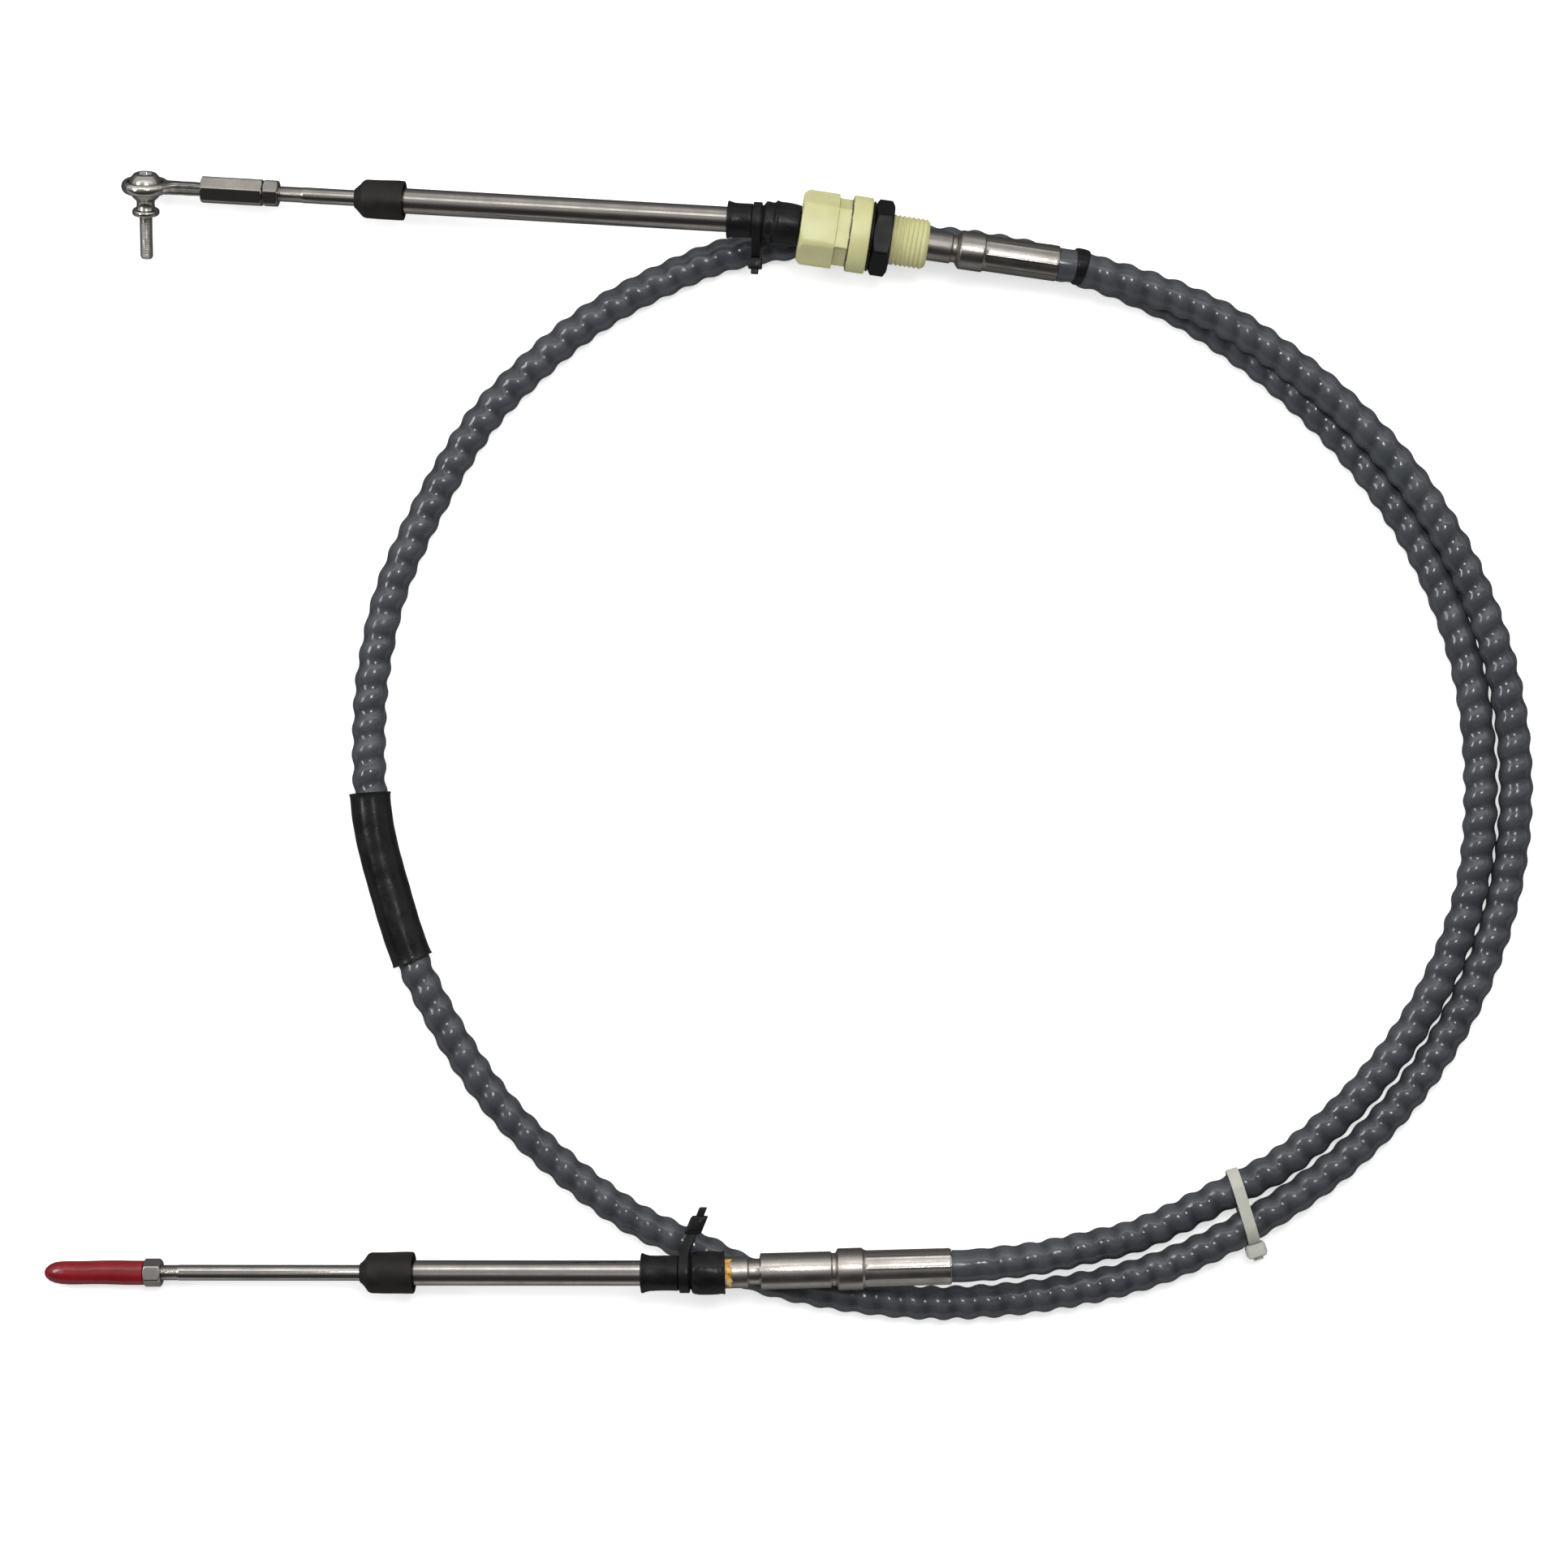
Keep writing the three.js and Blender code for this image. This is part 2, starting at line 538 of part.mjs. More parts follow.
function redCap() {
  const from = RED_CAP_FROM;
  const r = ROD_BORE_R + RED_CAP_WALL;
  const tip = RED_CAP_TO - 12.83233;
  return turned([
    [ROD_BORE_R, from], [r, from], [r, tip], [r - 0.25, tip + 4.5], [r - 0.9, tip + 7.6],
    [r - 2.0, tip + 10.0], [r - 3.6, tip + 11.9], [0, RED_CAP_TO], [0, tip - 1.0],
    [ROD_BORE_R - 0.67, tip - 1.6], [ROD_BORE_R, tip - 2.6],
  ]);
}

const hoseCurve = new THREE.CatmullRomCurve3(HOSE_POINTS.map(vec), false, 'centripetal');
hoseCurve.arcLengthDivisions = 2000;

function nearestU(x, y) {
  let best = 0;
  let least = Infinity;
  for (let i = 0; i <= 4000; i++) {
    const p = hoseCurve.getPointAt(i / 4000);
    const d = Math.hypot(p.x - x, p.y - y);
    if (d < least) [best, least] = [i / 4000, d];
  }
  return best;
}

function circle(r, sides) {
  const out = [];
  for (let i = 0; i < sides; i++) {
    const a = 2 * Math.PI * i / sides;
    out.push(new THREE.Vector2(r * Math.cos(a), r * Math.sin(a)));
  }
  return out;
}

function hose() {
  return new THREE.ExtrudeGeometry(new THREE.Shape(circle(HOSE_R, HOSE_SIDES)), {
    steps: HOSE_STEPS,
    extrudePath: hoseCurve,
    bevelEnabled: false,
  });
}

function sleeve() {
  const [u0, u1] = SLEEVE_ENDS.map(([x, y]) => nearestU(x, y));
  const points = [];
  for (let i = 0; i <= 8; i++) points.push(hoseCurve.getPointAt(u0 + (u1 - u0) * i / 8));
  const shape = new THREE.Shape(circle(HOSE_R + 2.3, 24));
  shape.holes.push(new THREE.Path(circle(HOSE_R + 0.9, 24)));
  return new THREE.ExtrudeGeometry(shape, {
    steps: 8,
    extrudePath: new THREE.CatmullRomCurve3(points),
    bevelEnabled: false,
  });
}

// The band follows the straight step of the hose that it sits on
function markerBand() {
  const u = nearestU(BAND_AT[0], BAND_AT[1]) * HOSE_STEPS;
  const from = hoseCurve.getPointAt(Math.floor(u) / HOSE_STEPS);
  const to = hoseCurve.getPointAt(Math.ceil(u) / HOSE_STEPS);
  const at = from.clone().lerp(to, u - Math.floor(u));
  const inner = HOSE_R + 0.4;
  const outer = HOSE_R + 1.0;
  const ring = turned([[inner, -2.6], [outer, -2.6], [outer, 2.6], [inner, 2.6]]);
  const next = at.clone().add(to).sub(from);
  return ring.applyMatrix4(axisFrame(at.toArray(), next.toArray()));
}

function bundleTie() {
  const a = vec(BUNDLE_TIE_AT);
  const b = vec(BUNDLE_TIE_TO);
  const apart = a.distanceTo(b);
  const x = b.clone().sub(a).normalize();
  const z = new THREE.Vector3(0, 0, 1);
  const y = new THREE.Vector3().crossVectors(z, x);
  const r = HOSE_R + 1.0;
  const ring = strap({ x: 0, z: 0, r }, { x: apart, z: 0, r }, 1.2, 6.0, 0);
  const head = box(-17.2, -9.6, -4.9, 4.9, -3.6, 2.4);
  const whole = fromSolid(toSolid(ring).add(toSolid(head)));
  return whole.applyMatrix4(new THREE.Matrix4().makeBasis(x, y, z).setPosition(a));
}

const { steel, satin, black, rubber, cream } = MATERIALS;
add('ball_stud', ballStud(), steel, ballFrame);
add('rod_end', rodEnd(), satin, ballFrame);
add('hex_coupler', hexNut(COUPLER_AF, COUPLER_FROM, COUPLER_TO, 0, ROD_BORE_R, 0.5),
  satin, upperTubeFrame);
add('upper_jam_nut',
  hexNut(UPPER_NUT_AF, UPPER_NUT_TO - UPPER_NUT_THICK, UPPER_NUT_TO, 0, ROD_BORE_R, 0.5),
  steel, upperTubeFrame);
add('upper_rod', rod(UPPER_ROD_FROM, COUPLER_FROM + 8.9), steel, upperTubeFrame);
add('upper_wiper_cap', wiperCap(UPPER_TUBE_LENGTH, 16.2, 4.6, 4.1, 3.45), black, upperTubeFrame);
add('upper_tube', guideTube(UPPER_TUBE_LENGTH), steel, upperTubeFrame);
add('upper_boot', upperBoot(), rubber);
add('upper_boot_tie', upperTie(), black, upperTubeFrame);
add('hull_collar', hullCollar(), cream, upperHubFrame);
add('hull_body', hullBody(), cream, upperHubFrame);
add('hull_washer', hullWasher(), rubber, upperHubFrame);
add('hull_nut', hexNut(HULL_NUT_AF, HULL_NUT_FROM, HULL_NUT_TO, 30, BARREL_BORE_R, 0.6),
  black, upperHubFrame);
add('upper_hub', upperHub(), satin, upperHubFrame);
add('marker_band', markerBand(), black);
add('hose', hose(), MATERIALS.pvc);
add('hose_sleeve', sleeve(), rubber);
add('bundle_tie', bundleTie(), MATERIALS.white);
add('lower_hub', lowerHub(), satin, lowerHubFrame);
add('lower_boot', lowerBoot(), rubber);
add('lower_boot_tie', lowerTie(), black, lowerTubeFrame);
add('lower_tube', guideTube(LOWER_TUBE_LENGTH), steel, lowerTubeFrame);
add('lower_wiper_cap', wiperCap(LOWER_TUBE_LENGTH, 16.8, 6.2, 4.1, 4.05), black, lowerTubeFrame);
add('lower_rod', rod(LOWER_ROD_FROM, RED_CAP_FROM + 33.8), steel, lowerTubeFrame);
add('lower_jam_nut', hexNut(LOWER_NUT_AF, LOWER_NUT_FROM, LOWER_NUT_TO, 30, ROD_BORE_R, 0.5),
  steel, lowerTubeFrame);
add('red_cap', redCap(), MATERIALS.red, lowerTubeFrame);

export default group;
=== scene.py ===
"""Looks of the boat steering cable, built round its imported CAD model."""
import math

import bmesh
import bpy
import numpy as np
from mathutils import Matrix, noise, Vector


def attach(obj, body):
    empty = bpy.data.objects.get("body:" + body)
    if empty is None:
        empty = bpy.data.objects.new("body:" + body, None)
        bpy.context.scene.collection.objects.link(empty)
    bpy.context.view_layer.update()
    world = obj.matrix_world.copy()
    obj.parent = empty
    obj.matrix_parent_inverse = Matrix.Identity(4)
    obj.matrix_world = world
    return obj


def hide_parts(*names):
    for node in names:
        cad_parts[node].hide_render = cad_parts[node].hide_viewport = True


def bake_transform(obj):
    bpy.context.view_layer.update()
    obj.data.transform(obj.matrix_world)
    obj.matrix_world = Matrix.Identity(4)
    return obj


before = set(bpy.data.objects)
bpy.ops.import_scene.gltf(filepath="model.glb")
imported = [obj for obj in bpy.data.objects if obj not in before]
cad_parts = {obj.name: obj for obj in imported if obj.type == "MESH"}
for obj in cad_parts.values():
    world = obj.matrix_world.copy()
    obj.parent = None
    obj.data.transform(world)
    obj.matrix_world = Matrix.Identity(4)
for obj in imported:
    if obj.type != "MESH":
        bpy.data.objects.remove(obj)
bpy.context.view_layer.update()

# Lengths below are millimetres in the CAD frame, and meshes are written in metres
MM = 0.001

# Driving points, as in the CAD source
UPPER_PIVOT = (110.8, 253.8, 36.8)
UPPER_EYE = (-202.8, 274.2, 17.7)
UPPER_HUB_END = (253.7, 233.6, 31.8)
LOWER_PIVOT = (74.7, -269.5, 27.2)
LOWER_TIP = (-255.4, -271.6, 5.3)
LOWER_HUB_END = (200.8, -266.3, 25.0)
STUD_TILT = math.radians(23)
SLEEVE_ENDS = ((-92.5, -30.0), (-70.9, -115.3))
BAND_AT = (264.0, 232.2)
BUNDLE_TIE_AT = (350.7, -247.0, 10.3)
BUNDLE_TIE_TO = (345.0, -228.5, 10.3)

# Centreline of the hose, from the upper hub to the lower hub
HOSE_POINTS = [
    (254, 233.56, 31.79), (259.64, 232.76, 31.59), (264.4, 232.1, 30.9),
    (275.1, 228.9, 29), (299.2, 222.2, 25.6), (325.3, 212.4, 24), (350.2, 199, 22.6),
    (395.5, 164.9, 20.6), (435.3, 121.4, 17.8), (464.5, 69.6, 15.4), (481.7, 11.7, 12.6),
    (484.4, -49.9, 8.8), (471.2, -109.6, 8.1), (443.7, -163.9, 8.1), (404.4, -209.6, 8.3),
    (354.8, -245, 10.3), (303.9, -269.7, 8.1), (248.4, -282.4, 8.1), (195.7, -286.5, 8.1),
    (154.8, -283.4, 8.1), (114, -275.8, 8.1), (95.2, -269.7, 8.1), (76.4, -260.3, 8.1),
    (38.8, -242.3, 8.1), (-9.4, -204.3, 8.1), (-36.3, -173.3, 8.3), (-66.8, -120.1, 10.5),
    (-80.2, -81.3, 10.7), (-89.6, -41.3, 10.7), (-91.2, 9.7, 8.6), (-87.8, 40.8, 8.1),
    (-77.2, 80.4, 8.1), (-38.4, 152.7, 8.1), (-10.2, 183.3, 8.1), (21.7, 209.1, 8.1),
    (57.6, 228.7, 8.1), (96, 242.8, 8.1), (155.7, 249.1, 8.1), (196.5, 246.6, 8.1),
    (233.3, 241.3, 8.1), (273.7, 231.1, 8.1), (299, 220.9, 8.1), (323.8, 208.5, 8.1),
    (368.3, 176.6, 8.1), (407.5, 137.4, 8.1), (439.2, 90.8, 8.1), (460, 37.7, 8.1),
    (467.6, -18.9, 8.1), (463.5, -76.5, 8.1), (443.5, -130.6, 8.1), (410.6, -177.4, 8.1),
    (369, -215.3, 8.6), (343.8, -228.9, 10.3), (296.1, -252, 8.9), (269.7, -258.1, 13.5),
    (244.1, -262.8, 19.3), (217.9, -265.4, 23.6), (206.8, -266.15, 24.9),
    (201.1, -266.29, 24.99),
]
HOSE_LIFT = 0.5
RIB_PITCH = 12.7

# Sizes that several shapes share
ROD_RADIUS = 3.97
ROD_BORE = 4.27
TUBE_RADIUS = 6.35
TUBE_BORE = 4.5
SWIVEL_BALL = 7.6
UPPER_TUBE_END = 200
LOWER_TUBE_END = 160
JACKET_RADIUS = 8.2
EYE_BALL = 8.5
STUD_RADIUS = 3.3
FLOOR_HALF = 12
FLOOR_HEIGHT = -0.0006


# Camera: straight above, as the photograph was taken
camera_data = bpy.data.cameras.new("camera")
camera_data.sensor_width = 36.0
camera_data.lens = 99.98
camera_data.clip_start = 0.05
camera_data.clip_end = 60.0
camera = bpy.data.objects.new("camera", camera_data)
camera.location = (0.11726, -0.02542, 2.2)
bpy.context.scene.collection.objects.link(camera)
bpy.context.scene.camera = camera
bpy.context.scene.view_settings.view_transform = "Standard"


# Frames and curves
def axis_frame(start, end):
    """Columns side, along, up, and the origin, as the CAD source sets its frames."""
    a, b = np.array(start, float), np.array(end, float)
    along = (b - a) / np.linalg.norm(b - a)
    up = np.array([0.0, 0.0, 1.0])
    up = up - along * (up @ along)
    up /= np.linalg.norm(up)
    return np.column_stack([np.cross(along, up), along, up]), a


def placed(points, axes):
    return np.asarray(points, float) @ axes[0].T + axes[1]


UPPER_TUBE = axis_frame(UPPER_PIVOT, UPPER_EYE)
UPPER_HUB = axis_frame(UPPER_PIVOT, UPPER_HUB_END)
LOWER_TUBE = axis_frame(LOWER_PIVOT, LOWER_TIP)
LOWER_HUB = axis_frame(LOWER_PIVOT, LOWER_HUB_END)
UPPER_HUB_LENGTH = float(np.linalg.norm(np.subtract(UPPER_HUB_END, UPPER_PIVOT)))
LOWER_LENGTH = float(np.linalg.norm(np.subtract(LOWER_TIP, LOWER_PIVOT)))
LOWER_HUB_LENGTH = float(np.linalg.norm(np.subtract(LOWER_HUB_END, LOWER_PIVOT)))


def ball_axes():
    side, along, up = UPPER_TUBE[0].T
    dome = side * math.cos(STUD_TILT) + up * math.sin(STUD_TILT)
    return np.column_stack([along, dome, np.cross(along, dome)]), np.array(UPPER_EYE, float)


BALL = ball_axes()


def smooth_curve(points, per_span=24):
    """Centripetal Catmull-Rom curve through the points."""
    p = np.array(points, float)
    p = np.vstack([2 * p[0] - p[1], p, 2 * p[-1] - p[-2]])
    out = []
    for i in range(1, len(p) - 2):
        p0, p1, p2, p3 = p[i - 1], p[i], p[i + 1], p[i + 2]
        t0 = 0.0
        t1 = t0 + max(np.linalg.norm(p1 - p0), 1e-6) ** 0.5
        t2 = t1 + max(np.linalg.norm(p2 - p1), 1e-6) ** 0.5
        t3 = t2 + max(np.linalg.norm(p3 - p2), 1e-6) ** 0.5
        for k in range(per_span):
            t = t1 + (t2 - t1) * k / per_span
            a1 = (p0 * (t1 - t) + p1 * (t - t0)) / (t1 - t0)
            a2 = (p1 * (t2 - t) + p2 * (t - t1)) / (t2 - t1)
            a3 = (p2 * (t3 - t) + p3 * (t - t2)) / (t3 - t2)
            b1 = (a1 * (t2 - t) + a2 * (t - t0)) / (t2 - t0)
            b2 = (a2 * (t3 - t) + a3 * (t - t1)) / (t3 - t1)
            out.append((b1 * (t2 - t) + b2 * (t - t1)) / (t2 - t1))
    out.append(p[-2])
    return np.array(out)


def even_points(line, count):
    """The line's points again, evenly spaced, and the line's length."""
    steps = np.linalg.norm(np.diff(line, axis=0), axis=1)
    at = np.concatenate([[0.0], np.cumsum(steps)])
    wanted = np.linspace(0, at[-1], count)
    return np.column_stack([np.interp(wanted, at, line[:, k]) for k in range(3)]), at[-1]


def carried_frames(line):
    """Two directions square to the line at each point, turned as little as can be."""
    tangent = np.gradient(line, axis=0)
    tangent /= np.linalg.norm(tangent, axis=1)[:, None]
    normal = np.array([0.0, 0.0, 1.0])
    normals = []
    for t in tangent:
        normal = normal - t * (normal @ t)
        normal /= np.linalg.norm(normal)
        normals.append(normal)
    normals = np.array(normals)
    return normals, np.cross(tangent, normals)


# Meshes
def ring_faces(rings, sides, closed):
    """Quads between rings of points; closed joins the last ring to the first."""
    faces = []
    for i in range(rings if closed else rings - 1):
        j = (i + 1) % rings
        for k in range(sides):
            m = (k + 1) % sides
            faces.append((i * sides + k, i * sides + m, j * sides + m, j * sides + k))
    return faces


def round_corners(points, radius, steps=3):
    """The closed outline with each corner drawn as a short arc."""
    p = [np.array(q, float) for q in points]
    count = len(p)
    out = []
    for i, cur in enumerate(p):
        prev, after = p[i - 1], p[(i + 1) % count]
        a, b = prev - cur, after - cur
        la, lb = np.linalg.norm(a), np.linalg.norm(b)
        if la < 1e-6 or lb < 1e-6:
            continue
        turn = math.degrees(math.acos(max(-1.0, min(1.0, -(a @ b) / (la * lb)))))
        if turn < 9:
            out.append(cur)
            continue
        cut = min(radius, 0.42 * la, 0.42 * lb)
        start, end = cur + a / la * cut, cur + b / lb * cut
        for k in range(steps + 1):
            t = k / steps
            out.append(start * (1 - t) ** 2 + 2 * cur * t * (1 - t) + end * t * t)
    return out


def spread(points, longest):
    """Extra points so that no step along the closed outline is longer than longest."""
    out = []
    count = len(points)
    for i in range(count):
        a, b = np.array(points[i], float), np.array(points[(i + 1) % count], float)
        parts = max(1, math.ceil(np.linalg.norm(b - a) / longest))
        for k in range(parts):
            out.append(a + (b - a) * k / parts)
    return out


def turned(outline, sides=72, shape=None):
    """An outline of (radius, station) pairs turned about local Y: points and faces."""
    pole = outline[0][0] == 0 and outline[-1][0] == 0
    rows = np.array(outline[1:-1] if pole else outline, float)
    angle = 2 * np.pi * np.arange(sides) / sides
    radius = rows[:, 0][:, None] * np.ones(sides)
    station = rows[:, 1][:, None] * np.ones(sides)
    if shape:
        radius, station = shape(radius, station, angle[None, :])
    points = np.stack([radius * np.cos(angle), station, radius * np.sin(angle)], axis=2)
    points = points.reshape(-1, 3)
    faces = ring_faces(len(rows), sides, not pole)
    if pole:
        first, last = len(points), len(points) + 1
        points = np.vstack([points, [[0, outline[0][1], 0], [0, outline[-1][1], 0]]])
        base = (len(rows) - 1) * sides
        for k in range(sides):
            m = (k + 1) % sides
            faces.append((first, m, k))
            faces.append((last, base + k, base + m))
    return points, faces


def piece(name, points, faces, mat, sharp=38):
    """A mesh object from millimetre points, with every face turned outward."""
    mesh = bpy.data.meshes.new(name)
    mesh.from_pydata((np.asarray(points) * MM).tolist(), [], faces)
    work = bmesh.new()
    work.from_mesh(mesh)
    bmesh.ops.recalc_face_normals(work, faces=work.faces)
    work.to_mesh(mesh)
    work.free()
    mesh.shade_smooth()
    if sharp:
        mesh.set_sharp_from_angle(angle=math.radians(sharp))
    mesh.materials.append(mat)
    made = bpy.data.objects.new(name, mesh)
    bpy.context.scene.collection.objects.link(made)
    return made


def joined(*parts):
    points, faces, base = [], [], 0
    for p, f in parts:
        points.append(np.asarray(p, float))
        faces += [tuple(i + base for i in face) for face in f]
        base += len(p)
    return np.vstack(points), faces


def soft_min(a, b, width):
    """The smaller of two values, with the corner between them rounded."""
    h = np.clip(0.5 + 0.5 * (b - a) / width, 0, 1)
    return b * (1 - h) + a * h - width * h * (1 - h)


def hexagon(across, turn_deg, inner, corner=0.2, width=0.18):
    """Limits a turned shape to a hexagon with a flat facing turn_deg, outside inner."""
    turn = math.radians(turn_deg)

    def shape(radius, station, angle):
        sector = math.radians(60)
        phi = (angle - turn + sector / 2) % sector - sector / 2
        flat = (across / 2) / np.cos(phi)
        flat = soft_min(flat, across / math.sqrt(3) - corner, width)
        limited = soft_min(radius, flat, width)
        return np.where(radius > inner, limited, radius), station
    return shape


def hex_nut(across, start, end, turn_deg, bore, chamfer, sides=144):
    corner = across / math.sqrt(3)
    flat = across / 2 - 0.25
    drop = (corner - flat) * chamfer
    rise = [(bore, start), (flat, start), (corner + 0.4, start + drop * 1.3)]
    fall = [(corner + 0.4, end - drop * 1.3), (flat, end), (bore, end)]
    outline = spread(round_corners(rise + fall, 0.3), 0.45)
    return turned(outline, sides, hexagon(across, turn_deg, bore + 0.5))


def rounded_box(low, high, radius, segments=3):
    work = bmesh.new()
    bmesh.ops.create_cube(work, size=1.0)
    low, high = np.array(low, float), np.array(high, float)
    for v in work.verts:
        v.co = Vector((low + high) / 2 + np.array(v.co) * (high - low))
    bmesh.ops.bevel(work, geom=work.edges[:], offset=radius, segments=segments,
                    profile=0.5, affect="EDGES")
    points = np.array([v.co for v in work.verts])
    faces = [tuple(v.index for v in f.verts) for f in work.faces]
    work.free()
    return points, faces


def two_circles(a, b, steps=40):
    """Points round two circles (x, z, r) in the X-Z plane, and their outward normals."""
    dx, dz = b[0] - a[0], b[1] - a[1]
    along = math.atan2(dz, dx)
    tilt = math.acos((a[2] - b[2]) / math.hypot(dx, dz))
    points, normals = [], []
    for i in range(steps + 1):
        t = along + tilt + (2 * math.pi - 2 * tilt) * i / steps
        points.append((a[0] + a[2] * math.cos(t), 0, a[1] + a[2] * math.sin(t)))
        normals.append((math.cos(t), 0, math.sin(t)))
    for i in range(steps // 2 + 1):
        t = along - tilt + 2 * tilt * i / (steps // 2)
        points.append((b[0] + b[2] * math.cos(t), 0, b[1] + b[2] * math.sin(t)))
        normals.append((math.cos(t), 0, math.sin(t)))
    return np.array(points), np.array(normals)


def band_section(half_width, thick, edge):
    """Rounded rectangle: (outward, sideways) pairs for the section of a strap."""
    box = [(0, -half_width), (thick, -half_width), (thick, half_width), (0, half_width)]
    return np.array(round_corners(box, edge, 3))


def strap_loop(a, b, thick, width, station):
    """A closed strap round two circles, centred on a station along local Y."""
    points, normals = two_circles(a, b)
    dense = []
    dense_n = []
    for i in range(len(points)):
        j = (i + 1) % len(points)
        parts = max(1, math.ceil(np.linalg.norm(points[j] - points[i]) / 0.9))
        for k in range(parts):
            dense.append(points[i] + (points[j] - points[i]) * k / parts)
            n = normals[i] + (normals[j] - normals[i]) * k / parts
            dense_n.append(n / np.linalg.norm(n))
    dense, dense_n = np.array(dense), np.array(dense_n)
    section = band_section(width / 2, thick, 0.35)
    out = (dense[:, None, :] + dense_n[:, None, :] * section[None, :, 0, None]
           + np.array([0, 1.0, 0]) * (section[None, :, 1, None] + station))
    out = out.reshape(-1, 3)
    return out, ring_faces(len(dense), len(section), True)


# Materials
def shader(name):
    mat = bpy.data.materials.new(name)
    mat.use_nodes = True
    return mat, mat.node_tree, mat.node_tree.nodes["Principled BSDF"]


def join_shader(tree, bsdf, colour, gloss, relief):
    for value, name in ((colour, "Base Color"), (gloss, "Roughness"), (relief, "Normal")):
        tree.links.new(value, bsdf.inputs[name])


def node(tree, kind, **settings):
    made = tree.nodes.new(kind)
    for key, value in settings.items():
        setattr(made, key, value)
    return made


def local_coords(tree, axes=None, scale=(1, 1, 1)):
    """Object coordinates in metres, turned into an axis frame, then scaled."""
    coords = node(tree, "ShaderNodeTexCoord").outputs["Object"]
    if axes is not None:
        turn = node(tree, "ShaderNodeMapping", vector_type="TEXTURE")
        tree.links.new(coords, turn.inputs["Vector"])
        turn.inputs["Location"].default_value = tuple(axes[1] * MM)
        turn.inputs["Rotation"].default_value = Matrix(axes[0].tolist()).to_euler()
        coords = turn.outputs["Vector"]
    if scale != (1, 1, 1):
        size = node(tree, "ShaderNodeMapping")
        tree.links.new(coords, size.inputs["Vector"])
        size.inputs["Scale"].default_value = scale
        coords = size.outputs["Vector"]
    return coords


def noise_node(tree, vector, scale, detail=3.0, rough=0.5, distort=0.0):
    made = node(tree, "ShaderNodeTexNoise")
    tree.links.new(vector, made.inputs["Vector"])
    made.inputs["Scale"].default_value = scale
    made.inputs["Detail"].default_value = detail
    made.inputs["Roughness"].default_value = rough
    made.inputs["Distortion"].default_value = distort
    return made.outputs["Fac"]


def ramp(tree, value, stops):
    made = node(tree, "ShaderNodeValToRGB")
    tree.links.new(value, made.inputs["Fac"])
    row = made.color_ramp
    while len(row.elements) < len(stops):
        row.elements.new(0.5)
    for element, (at, colour) in zip(row.elements, stops):
        element.position = at
        element.color = (*colour, 1)
    return made.outputs["Color"]


def grey(value):
    return (value, value, value)


def remap(tree, value, low, high, to_low, to_high):
    made = node(tree, "ShaderNodeMapRange")
    tree.links.new(value, made.inputs["Value"])
    for key, number in (("From Min", low), ("From Max", high), ("To Min", to_low), ("To Max", to_high)):
        made.inputs[key].default_value = number
    return made.outputs["Result"]


def math_node(tree, operation, a, b=None):
    made = node(tree, "ShaderNodeMath", operation=operation)
    for socket, value in zip(made.inputs, (a, b)):
        if value is None:
            continue
        if isinstance(value, (int, float)):
            socket.default_value = value
        else:
            tree.links.new(value, socket)
    return made.outputs["Value"]


def mix_colour(tree, fac, a, b):
    made = node(tree, "ShaderNodeMix", data_type="RGBA")
    for socket, value in ((made.inputs[0], fac), (made.inputs[6], a), (made.inputs[7], b)):
        if isinstance(value, (int, float)):
            socket.default_value = value
        elif isinstance(value, tuple):
            socket.default_value = (*value, 1)
        else:
            tree.links.new(value, socket)
    return made.outputs[2]


def bump(tree, height, distance, strength=1.0, under=None):
    made = node(tree, "ShaderNodeBump")
    tree.links.new(height, made.inputs["Height"])
    made.inputs["Distance"].default_value = distance
    made.inputs["Strength"].default_value = strength
    if under is not None:
        tree.links.new(under, made.inputs["Normal"])
    return made.outputs["Normal"]


def vinyl(name, colour, light, rough, relief):
    """Soft glossy vinyl: faint mottling, scuffs and a slightly uneven skin."""
    mat, tree, bsdf = shader(name)
    coords = local_coords(tree)
    broad = noise_node(tree, coords, 60, 4, 0.6)
    fine = noise_node(tree, coords, 900, 3, 0.6)
    tone = mix_colour(tree, remap(tree, broad, 0.35, 0.7, 0, 1), colour, light)
    tone = mix_colour(tree, remap(tree, fine, 0.62, 0.8, 0, 0.35), tone, light)
    # Grime and painted shade darken the grooves, and a painted highlight makes the crests paler
    height = node(tree, "ShaderNodeAttribute")
    height.attribute_name = relief
    ragged = math_node(tree, "ADD", height.outputs["Fac"], remap(tree, fine, 0.3, 0.7, -0.10, 0.10))
    grime_and_painted_shade = tuple(c * 0.4 for c in colour)
    crest_painted_highlight = tuple(c * 1.4 for c in light)
    tone = mix_colour(tree, remap(tree, ragged, 0.0, 0.45, 0.50, 0), tone, grime_and_painted_shade)
    tone = mix_colour(tree, remap(tree, ragged, 0.75, 1.0, 0, 0.12), tone, crest_painted_highlight)
    gloss = remap(tree, broad, 0.3, 0.75, rough - 0.05, rough + 0.1)
    low = bump(tree, noise_node(tree, coords, 140, 2, 0.5), 0.0006, 0.35)
    join_shader(tree, bsdf, tone, gloss, bump(tree, fine, 0.00008, 0.4, low))
    bsdf.inputs["Specular IOR Level"].default_value = 0.5
    return mat


